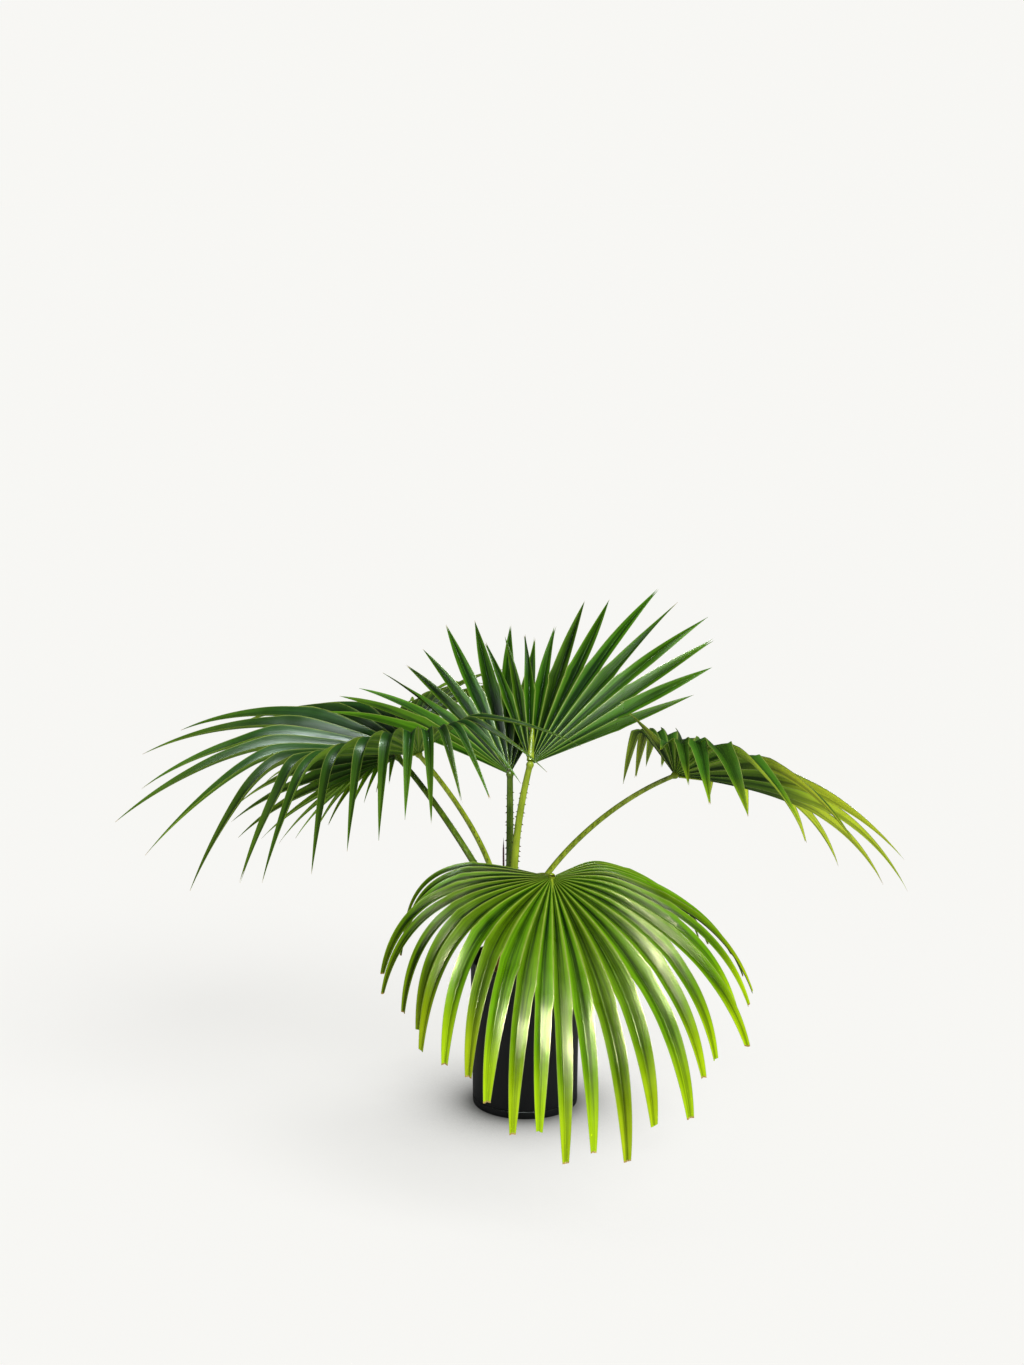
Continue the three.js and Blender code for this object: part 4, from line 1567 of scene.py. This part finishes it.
@dataclass
class Pot:
    """The straight-sided nursery pot with its groove, rolled lip and recessed underside.

    Attributes:
        materials: one material.
        height: from the floor to the rim.
        foot_radius: outer radius at the foot.
        rim_radius: outer radius of the lip.
        wall: thickness of the wall.
        floor: height of the floor's upper face.
        groove_height: height of the groove above the foot.
        groove_depth: its depth.
        lip_height: height of the lip.
        lip_overhang: how far the lip stands out from the wall.
        around: points round it.
    """

    materials: list[bpy.types.Material]
    height: float = 300.0
    foot_radius: float = 104.0
    rim_radius: float = 110.0
    wall: float = 2.6
    floor: float = 3.0
    groove_height: float = 16.0
    groove_depth: float = 1.4
    lip_height: float = 13.0
    lip_overhang: float = 2.0
    around: int = 192

    def radius(self, z: float) -> float:
        """Outer radius of the wall at a height."""
        return self.foot_radius + (self.rim_radius - self.lip_overhang - self.foot_radius) * z / self.height

    def profile(self) -> list[tuple[float, float]]:
        """The wall's outline from the middle of the underside, up outside, over the lip and down inside.

        Returns:
            Radius and height of each point.
        """
        g, r, rim, top = self.groove_height, self.radius, self.rim_radius, self.height
        lip, bevel, roll = top - self.lip_height, 3.0, 2.1
        underside = [(0.05, 1.2), (40, 1.2), (r(0) - 9, 1.2), (r(0) - 8, 0.0), (r(0) - 3.4, 0.0)]
        foot = [(r(0) - bevel + bevel * math.sin(turn), bevel - bevel * math.cos(turn))
                for turn in np.linspace(0, math.pi / 2, 6)]
        deep = r(g) - self.groove_depth
        groove = [(r(g) + 0.3, g - 2.4), (r(g), g - 1.6), (deep, g - 0.4), (deep, g + 2), (r(g), g + 3.2),
                  (r(g) + 0.1, g + 5)]
        wall = [(r(z), z) for z in np.linspace(g + 12, lip - 4, 26)]
        skirt = [(r(lip), lip - 1), (r(lip), lip), (rim - 0.6, lip + 0.6), (rim, lip + 1.6), (rim, lip + 5),
                 (rim, top - 2.2)]
        rolled = [(rim - roll + roll * math.cos(turn), top - roll + roll * math.sin(turn))
                  for turn in np.linspace(0, math.pi, 9)[1:-1]]
        inside = r(top) - self.wall
        throat = [(rim - 4.3, top - 3), (inside, top - 6), (inside, top - 9)]
        lining = [(r(z) - self.wall, z) for z in np.linspace(lip, self.floor + 5, 12)]
        floor = [(r(0) - self.wall - bevel, self.floor), (0.05, self.floor)]
        return underside + foot + groove + wall + skirt + rolled + throat + lining + floor

    def build(self) -> bpy.types.Object:
        """Makes the pot.

        Returns:
            The pot's one piece.
        """
        round_pot = outward(circle(self.around))
        draft = Draft()
        draft.tube(np.stack([round_pot * r + UP * z for r, z in self.profile()]))
        return draft.make("nursery_pot", self.materials, 40.0)


@dataclass
class Soil:
    """The potting mix: a lumpy bed of peat with bark chips lying on it.

    Attributes:
        bed_material: material of the bed.
        chip_materials: materials that the chips take by chance.
        pot: the pot that it fills.
        level: height of the bed's middle.
        dip: how much lower it lies at the wall.
        dip_from: how far from the middle it starts to drop.
        dip_over: width over which it drops.
        lump: height of its lumps.
        around: points round the bed.
        rows: rings of its upper face.
        chips: number of bark chips.
        chip: least and greatest length of a chip.
        seed: where the chips' row of chance starts.
        stem_foot: middle and radius of the flat place that the stem stands on.
    """

    bed_material: bpy.types.Material
    chip_materials: list[bpy.types.Material]
    pot: Pot
    level: float = 274.0
    dip: float = 5.0
    dip_from: float = 72.0
    dip_over: float = 26.0
    lump: float = 2.2
    around: int = 128
    rows: int = 44
    chips: int = 620
    chip: tuple[float, float] = (2.5, 9.0)
    seed: int = 97
    stem_foot: tuple[float, float, float] = (-20.0, 0.0, 58.0)

    def height(self, x: np.ndarray, y: np.ndarray) -> np.ndarray:
        """Height of the bed at places on it.

        Args:
            x: the places' x.
            y: the places' y.

        Returns:
            The height at each place.
        """
        bed = self.level - self.dip * smooth((np.hypot(x, y) - self.dip_from) / self.dip_over)
        stem_x, stem_y, stem_radius = self.stem_foot
        flat = smooth((np.hypot(x - stem_x, y - stem_y) - stem_radius) / 6)
        lumps = np.array([noise.noise(Vector((float(a) * 0.09, float(b) * 0.09, 4.0)))
                          + 0.6 * noise.noise(Vector((float(a) * 0.28, float(b) * 0.28, 1.0)))
                          for a, b in zip(np.ravel(x), np.ravel(y))]).reshape(np.shape(x))
        return bed + lumps * self.lump * flat

    def build(self) -> list[bpy.types.Object]:
        """Makes the bed and its chips.

        Returns:
            Two pieces.
        """
        bottom, clear, edge = self.pot.floor + GAP, self.pot.wall + GAP, self.level - self.dip
        way = outward(circle(self.around))
        rim = self.pot.radius(edge) - clear
        foot = self.pot.radius(0) - self.pot.wall - 3 - GAP
        outside = ((0.05, bottom), (foot, bottom), (self.pot.radius(60) - clear, 60.0), (rim, edge - 4))
        rings = [way * r + UP * z for r, z in outside]
        for share in np.linspace(1, 0.01, self.rows):
            flat = way * rim * share
            rings.append(flat + UP * self.height(flat[:, 0], flat[:, 1])[:, None])
        bed = Draft()
        bed.tube(np.stack(rings))
        return [bed.make("potting_mix", [self.bed_material], 60.0), self._chips(rim)]

    def _chips(self, rim: float) -> bpy.types.Object:
        """Makes the bark chips: six-sided slivers that lie on the bed, clear of the stem and the wall.

        Args:
            rim: radius of the bed.

        Returns:
            One piece with all chips.
        """
        draft, chance = Draft(), Random(self.seed)
        stem_x, stem_y, stem_radius = self.stem_foot
        made = 0
        while made < self.chips:
            far, turn = rim * math.sqrt(chance.next()), chance.between(0, TURN)
            size = chance.between(*self.chip) * (0.6 + 0.4 * chance.next())
            x, y = far * math.cos(turn), far * math.sin(turn)
            if far + size * 0.7 > rim or math.hypot(x - stem_x, y - stem_y) <= stem_radius + size * 0.6:
                continue
            made += 1
            spin = chance.between(0, math.pi)
            along = unit(np.array([math.cos(spin), math.sin(spin), chance.spread(0.35)]))
            over = unit(np.cross(UP, along) + UP * chance.spread(0.3))
            thick = unit(np.cross(along, over))
            wide, high = size * chance.between(0.4, 0.8), size * chance.between(0.16, 0.34)
            middle = np.array([x, y, float(self.height(np.array([x]), np.array([y]))[0]) + high * 0.35])
            rings = []
            for s in (-1.0, -0.55, 0.1, 0.65, 1.0):
                grow = (0.35 if abs(s) == 1 else 1.0) * chance.between(0.8, 1.1) / 2
                corners = [(math.cos(q + chance.spread(0.25)), math.sin(q))
                           for q in (0.5, 1.4, 2.4, 3.6, 4.6, 5.6)]
                rings.append([middle + along * s * size / 2 + over * c * wide * grow + thick * d * high * grow
                              for c, d in corners])
            draft.tube(np.array(rings), int(chance.next() * 2.999))
        return draft.make("bark_chips", self.chip_materials, 25.0)


# ---- Studio --------------------------------------------------------------------------------------------


@dataclass(frozen=True)
class SoftBox:
    """A lamp that only gloss sees.

    Attributes:
        at: where it hangs, in metres.
        aim: what it points at, in metres.
        size: its two sides, in metres.
        power: its power in watts.
        colour: its linear colour.
        spread: how wide its light spreads, in degrees.
    """

    at: Spot
    aim: Spot
    size: tuple[float, float]
    power: float
    colour: Colour
    spread: float

    def hang(self, name: str) -> None:
        """Makes the lamp and hangs it in the scene.

        Args:
            name: the lamp's name.
        """
        light = bpy.data.lights.new(name, "AREA")
        light.shape, light.size, light.size_y = "RECTANGLE", *self.size
        light.energy, light.color, light.spread = self.power, self.colour, math.radians(self.spread)
        lamp = bpy.data.objects.new(name, light)
        lamp.location = self.at
        lamp.rotation_euler = (Vector(self.aim) - Vector(self.at)).to_track_quat("-Z", "Y").to_euler()
        lamp.visible_camera = lamp.visible_diffuse = lamp.visible_transmission = False
        bpy.context.scene.collection.objects.link(lamp)


@dataclass
class Studio:
    """Pale floor, soft lights and camera.

    Attributes:
        floor_side: side of the floor.
        lens: focal length.
        sensor: width of the sensor.
        camera_at: where the camera stands.
        camera_down: how far it looks down, in degrees.
        backdrop: colour of floor and backdrop.
        floor_glow: share of the floor's brightness that is its own, so that shadows stay pale.
        floor_sheen: the floor's brightness as the plant's gloss sees it.
        painted_contact_shadow: distance in metres within which ambient occlusion darkens the floor's glow
            into a painted shadow near the plant, and the least brightness there.
        sun_strength: strength of the sun.
        sun_angle: its angle across, in degrees, for soft shadows.
        sun_lean: how far it leans to the front and to the right, in degrees.
        sky: brightness of the light all round.
        sheen: the same as gloss sees it.
        windows: name, x and y of the three tall lamps before the front fan, in metres.
        front_fan: the middle of the front fan, which they point at, in metres.
    """

    floor_side: float = 80000.0
    lens: float = 70.0
    sensor: float = 36.0
    camera_at: Spot = (-26.0, -4994.6, 1981.5)
    camera_down: float = 12.7
    backdrop: Colour = (0.935, 0.93, 0.905)
    floor_glow: float = 0.83
    floor_sheen: float = 0.15
    painted_contact_shadow: tuple[float, float] = (0.3, 0.12)
    sun_strength: float = 3.4
    sun_angle: float = 36.0
    sun_lean: float = 32.0
    sky: float = 0.22
    sheen: float = 0.06
    windows: tuple[tuple[str, float, float], ...] = (
        ("window", 0.07, -1.62), ("window_left", -0.55, -1.4), ("window_right", 0.69, -1.4))
    front_fan: Spot = (0.07, -0.66, 0.3)

    def build(self) -> None:
        """Sets the floor, the lights, the world and the camera."""
        self._floor()
        self._sun()
        for name, x, y in self.windows:
            SoftBox((x, y, 1.45), self.front_fan, (0.3, 0.7), 2.8, (1.0, 0.93, 0.6), 13.0).hang(name)
        SoftBox((-0.5, -0.7, 2.6), (-0.42, 0.0, 0.8), (1.2, 0.4), 5.0, (0.9, 0.97, 1.0), 34.0).hang("left")
        SoftBox((0.6, -1.4, 1.9), (0.5, -0.05, 0.8), (0.5, 0.3), 3.2, (0.92, 0.97, 0.9), 24.0).hang("right")
        self._world()
        self._camera()
        bpy.context.scene.view_settings.view_transform = "Standard"

    def _floor(self) -> None:
        """A wide pale floor that merges with the backdrop, with a painted shadow where the plant is close to
        it.
        """
        half = self.floor_side / 2
        draft = Draft()
        corners = [(-half, -half, -GAP), (half, -half, -GAP), (half, half, -GAP), (-half, half, -GAP)]
        draft.quads(draft.add(np.array(corners))[None])
        g, shader, _ = new_material("pale_floor")
        glossy = g.node("ShaderNodeLightPath").outputs["Is Glossy Ray"]

        def share(part: float) -> bpy.types.NodeSocket:
            """A part of the backdrop's colour, dimmed where gloss sees it."""
            lit, dim = (tuple(part * k * c for c in self.backdrop) for k in (1.0, self.floor_sheen))
            return g.mix(glossy, lit, dim)

        distance, least = self.painted_contact_shadow
        # painted shadow: ambient occlusion darkens the floor's own glow near the pot and the low leaves
        near = g.node("ShaderNodeAmbientOcclusion", {"Distance": distance}, samples=16).outputs["AO"]
        dimmed = g.between(near, 0.55, 0.98, least, 1.0)
        g.feed(shader, {
            "Base Color": share(1 - self.floor_glow), "Roughness": 0.9, "Specular IOR Level": 0.0,
            "Emission Color": g.mix(dimmed, (0.0, 0.0, 0.0), share(self.floor_glow)),
            "Emission Strength": 1.0,
        })
        floor = draft.make("floor", [bpy.data.materials["pale_floor"]], 35.0)

    def _sun(self) -> None:
        """A very broad sun that gives the shading and no gloss."""
        sun = bpy.data.lights.new("key", "SUN")
        sun.energy, sun.angle = self.sun_strength, math.radians(self.sun_angle)
        key = bpy.data.objects.new("key", sun)
        key.rotation_euler = (math.radians(self.sun_lean), math.radians(self.sun_lean), 0)
        key.visible_glossy = False
        bpy.context.scene.collection.objects.link(key)

    def _world(self) -> None:
        """Even light all round, with the backdrop's own brightness where the camera sees it."""
        world = bpy.data.worlds.new("studio")
        bpy.context.scene.world = world
        world.use_nodes = True
        g = Graph(world.node_tree)
        lit = world.node_tree.nodes["Background"]
        path = g.node("ShaderNodeLightPath").outputs
        g.feed(lit, {0: (1.0, 1.0, 1.0), 1: g.mixed(path["Is Glossy Ray"], self.sky, self.sheen)})
        seen = g.node("ShaderNodeBackground", {0: self.backdrop, 1: 1.0})
        choice = {0: path["Is Camera Ray"], 1: lit.outputs[0], 2: seen.outputs[0]}
        both = g.node("ShaderNodeMixShader", choice).outputs[0]
        g.feed(world.node_tree.nodes["World Output"], {0: both})

    def _camera(self) -> None:
        """The camera, a little above the plant and looking slightly down."""
        data = bpy.data.cameras.new("camera")
        data.lens, data.sensor_width = self.lens, self.sensor
        data.clip_end = 200.0
        camera = bpy.data.objects.new("camera", data)
        camera.location = Vector(self.camera_at) * MM
        camera.rotation_euler = (math.radians(90 - self.camera_down), 0, 0)
        bpy.context.scene.collection.objects.link(camera)
        bpy.context.scene.camera = camera


# ---- The plant -----------------------------------------------------------------------------------------


@dataclass
class FanPalm:
    """The whole plant: which finish each part wears, and the order in which the parts are made.

    Attributes:
        deep_upper, deep_under: the near left fan's upper face, and the under face of most fans.
        left_b_upper, left_under: the far left fan's upper face, and the under face of both left fans; both
            are made brighter, as painted light, to stand for light that comes through the leaves.
        up_left_upper, up_right_upper: upper faces of the two upright fans.
        bright_upper: upper face of the front fan.
        right_upper, right_under: both faces of the right fan; as painted light, the upper face's open colour
            is lightened in part to stand for the grey sheen on its folds, and the under face's own
            yellow-green is brightened toward its tail.
        rib_pale, dry_tip: midribs with margins, and wilted tips.
        stalk, stalk_deep, tooth: stalks in the light, a darker copy with painted shade for the stalks of the
            far left and upright left fans, and their teeth.
        fibre, leaf_base, strand, sheath: the trunk's own stuff, in the order of Wood.
        spear: the dry unopened leaf.
        plastic: the pot.
        peat, bark_dark, bark_red, bark_pale: the bed, and the chips that lie on it.
        front_strips: how far a stalk's strip runs on over its blade, by fan.
    """

    deep_upper: LeafFinish = LeafFinish(
        "leaf_deep_upper", 0x0A2404, 0x2C5614, 0x547838, 0x5C8418, 0x789C10,
        tip_from=0.5, through=0.14, gloss=0.3)
    deep_under: LeafFinish = LeafFinish(
        "leaf_deep_under", 0x1A3A00, 0x4C7014, 0x6C8C2C, 0x6C9014, 0x90B408, through=0.24, gloss=0.5)
    # painted light: its first leaflets are made brighter to stand for light that comes through them
    left_b_upper: LeafFinish = LeafFinish(
        "leaf_left_b_upper", 0x0C2804, 0x40701A, 0x547838, 0xA4CC18, 0x98C010,
        tip_from=0.28, tip_full=0.75, brighter_run=(-9.0, 9.0))
    # painted light: the under face's own paler green, made brighter still to stand for light that comes
    # through the leaf
    left_under: LeafFinish = LeafFinish(
        "leaf_left_under", 0x3A6600, 0x88B01C, 0x94AE44, 0xA0C41C, 0xA8CC08, gloss=0.5)
    up_left_upper: LeafFinish = LeafFinish(
        "leaf_up_left_upper", 0x0E2C02, 0x4A7C0A, 0x84A440, 0x5A8A0C, 0x84A808, tip_from=0.75,
        through=0.16, gloss=0.38, specular=0.2, vary=0.3, brighter_run=(-9.0, 2.5))
    up_right_upper: LeafFinish = LeafFinish(
        "leaf_up_right_upper", 0x0E2C00, 0x4C8008, 0x94B448, 0x5A8A0C, 0x84A808, tip_from=0.7,
        through=0.16, gloss=0.38, specular=0.17, vary=0.3, brighter_run=(7.0, 99.0))
    bright_upper: LeafFinish = LeafFinish(
        "leaf_bright_upper", 0x0A2800, 0x6A9C04, 0xB0C848, 0xB0D008, 0x98B808, tip_from=0.7, tip_full=0.96,
        through=0.16, gloss=0.28, specular=0.2, brighter_run=(-9.0, 21.0))
    # painted highlight: the open colour is partly the face's own green, partly lightened to stand for sheen
    # on the folds
    right_upper: LeafFinish = LeafFinish(
        "leaf_right_upper", 0x163806, 0x4A7A1C, 0x90B054, 0x98B814, 0xB4D808,
        tip_from=0.7, gloss=0.28)
    # painted light: partly the under face's own yellow-green, partly brighter tips and leaflets that stand
    # for light on the tail
    right_under: LeafFinish = LeafFinish(
        "leaf_right_under", 0x183800, 0x74A014, 0x8CA83C, 0xE8FC28, 0xD0EC08, tip_from=0.34, tip_full=0.68,
        through=0.12, gloss=0.38, brighter_run=(5.0, 16.0))
    rib_pale: RibFinish = RibFinish("leaf_rib", 0x98A84C, 0x5C7A18)
    dry_tip: StrandFinish = StrandFinish("leaf_dry_tip", 0x80661E, 0xB49C44, 400.0, 0.3, 0.7, 0.0004)
    stalk: StrandFinish = StrandFinish("stalk_green", 0x60780A, 0xA0B422, 90.0, 0.08, 0.42, 0.0003)
    stalk_deep: StrandFinish = StrandFinish("stalk_deep", 0x34500C, 0x6C8820, 90.0, 0.08, 0.42, 0.0003)
    tooth: StrandFinish = StrandFinish("stalk_tooth", 0x2C2A10, 0x5A4A20, 400.0, 0.5, 0.6, 0.0003)
    fibre: StrandFinish = StrandFinish("stem_fibre", 0x4A2A12, 0xA8743A, 320.0, 0.1, 0.85, 0.0016)
    leaf_base: StrandFinish = StrandFinish("stem_leaf_base", 0x7A4A1E, 0xC9923E, 240.0, 0.07, 0.7, 0.001)
    strand: StrandFinish = StrandFinish("stem_strand", 0x8A5A2A, 0xD0A868, 300.0, 0.2, 0.8, 0.0004)
    sheath: StrandFinish = StrandFinish("stem_sheath", 0x6A4A1A, 0xB49A48, 260.0, 0.06, 0.65, 0.0008)
    spear: StrandFinish = StrandFinish("spear_dry", 0x22121A, 0x4E3038, 300.0, 0.08, 0.7, 0.0006)
    plastic: GrainFinish = GrainFinish("pot_plastic", 0x141517, 0x1D1F21, 700.0, 0.38, 0.00008, 0.25)
    peat: GrainFinish = GrainFinish("soil_peat", 0x140D08, 0x3A281A, 420.0, 0.92, 0.0022, 0.9)
    bark_dark: GrainFinish = GrainFinish("soil_bark_dark", 0x1A110B, 0x3C281A, 500.0, 0.85, 0.0006, 0.6)
    bark_red: GrainFinish = GrainFinish("soil_bark_red", 0x3A1C10, 0x7A4426, 500.0, 0.8, 0.0006, 0.6)
    bark_pale: GrainFinish = GrainFinish("soil_bark_pale", 0x5A3A22, 0x9A7048, 500.0, 0.8, 0.0006, 0.6)
    front_strips: dict[str, float] = field(default_factory=lambda: {"up_right": 84.0})

    def build(self) -> None:
        """Makes every part, each on the plant's one body."""
        pot = Pot([self.plastic.build()])
        settle(pot.build(), "pot", "pot")
        chips = [finish.build() for finish in (self.bark_dark, self.bark_red, self.bark_pale)]
        soil = Soil(self.peat.build(), chips, pot)
        bed, bark = soil.build()
        settle(bed, "soil", "soil")
        settle(bark, "soil")
        woody = [finish.build() for finish in (self.fibre, self.leaf_base, self.strand, self.sheath)]
        trunk = Trunk(woody, soil.level + GAP)
        settle(trunk.build(), "trunk", "trunk")
        settle(DeadSpear([self.spear.build()], trunk.top).build(), "dead_spear", "dead_spear")
        self._fans(trunk.top)

    def _fans(self, trunk_top: float) -> None:
        """Makes the stalks and blades.

        Args:
            trunk_top: height that the stalks stand on.
        """
        upper = {name: finish.build() for name, finish in {
            "right": self.right_upper, "left_a": self.deep_upper, "left_b": self.left_b_upper,
            "up_left": self.up_left_upper, "up_right": self.up_right_upper,
            "front": self.bright_upper}.items()}
        deep_under, left_under = self.deep_under.build(), self.left_under.build()
        lower = {"right": self.right_under.build(), "left_a": left_under, "left_b": left_under}
        rib, dry = self.rib_pale.build(), self.dry_tip.build()
        green, dark, tooth = self.stalk.build(), self.stalk_deep.build(), self.tooth.build()
        for rule in FANS:
            # painted shade: the stalks of the far left and upright left fans take the darker copy
            skin = dark if rule.name in ("left_b", "up_left") else green
            stalk = Stalk(rule, [skin, tooth], trunk_top, front_strip=self.front_strips.get(rule.name, 0.0))
            settle(stalk.build(), "stalk", f"stalk_{rule.name}")
            blade = Blade(rule, [upper[rule.name], lower.get(rule.name, deep_under), rib, dry])
            settle(blade.build(), "blade", *[f"blade_{rule.name}_{i + 1}" for i in range(len(rule.sectors))])


def main() -> None:
    """Builds the plant and its studio; each piece logs its face count."""
    logging.basicConfig(level=logging.INFO, format="%(name)s %(message)s")
    Studio().build()
    FanPalm().build()


if __name__ == "__main__":
    main()
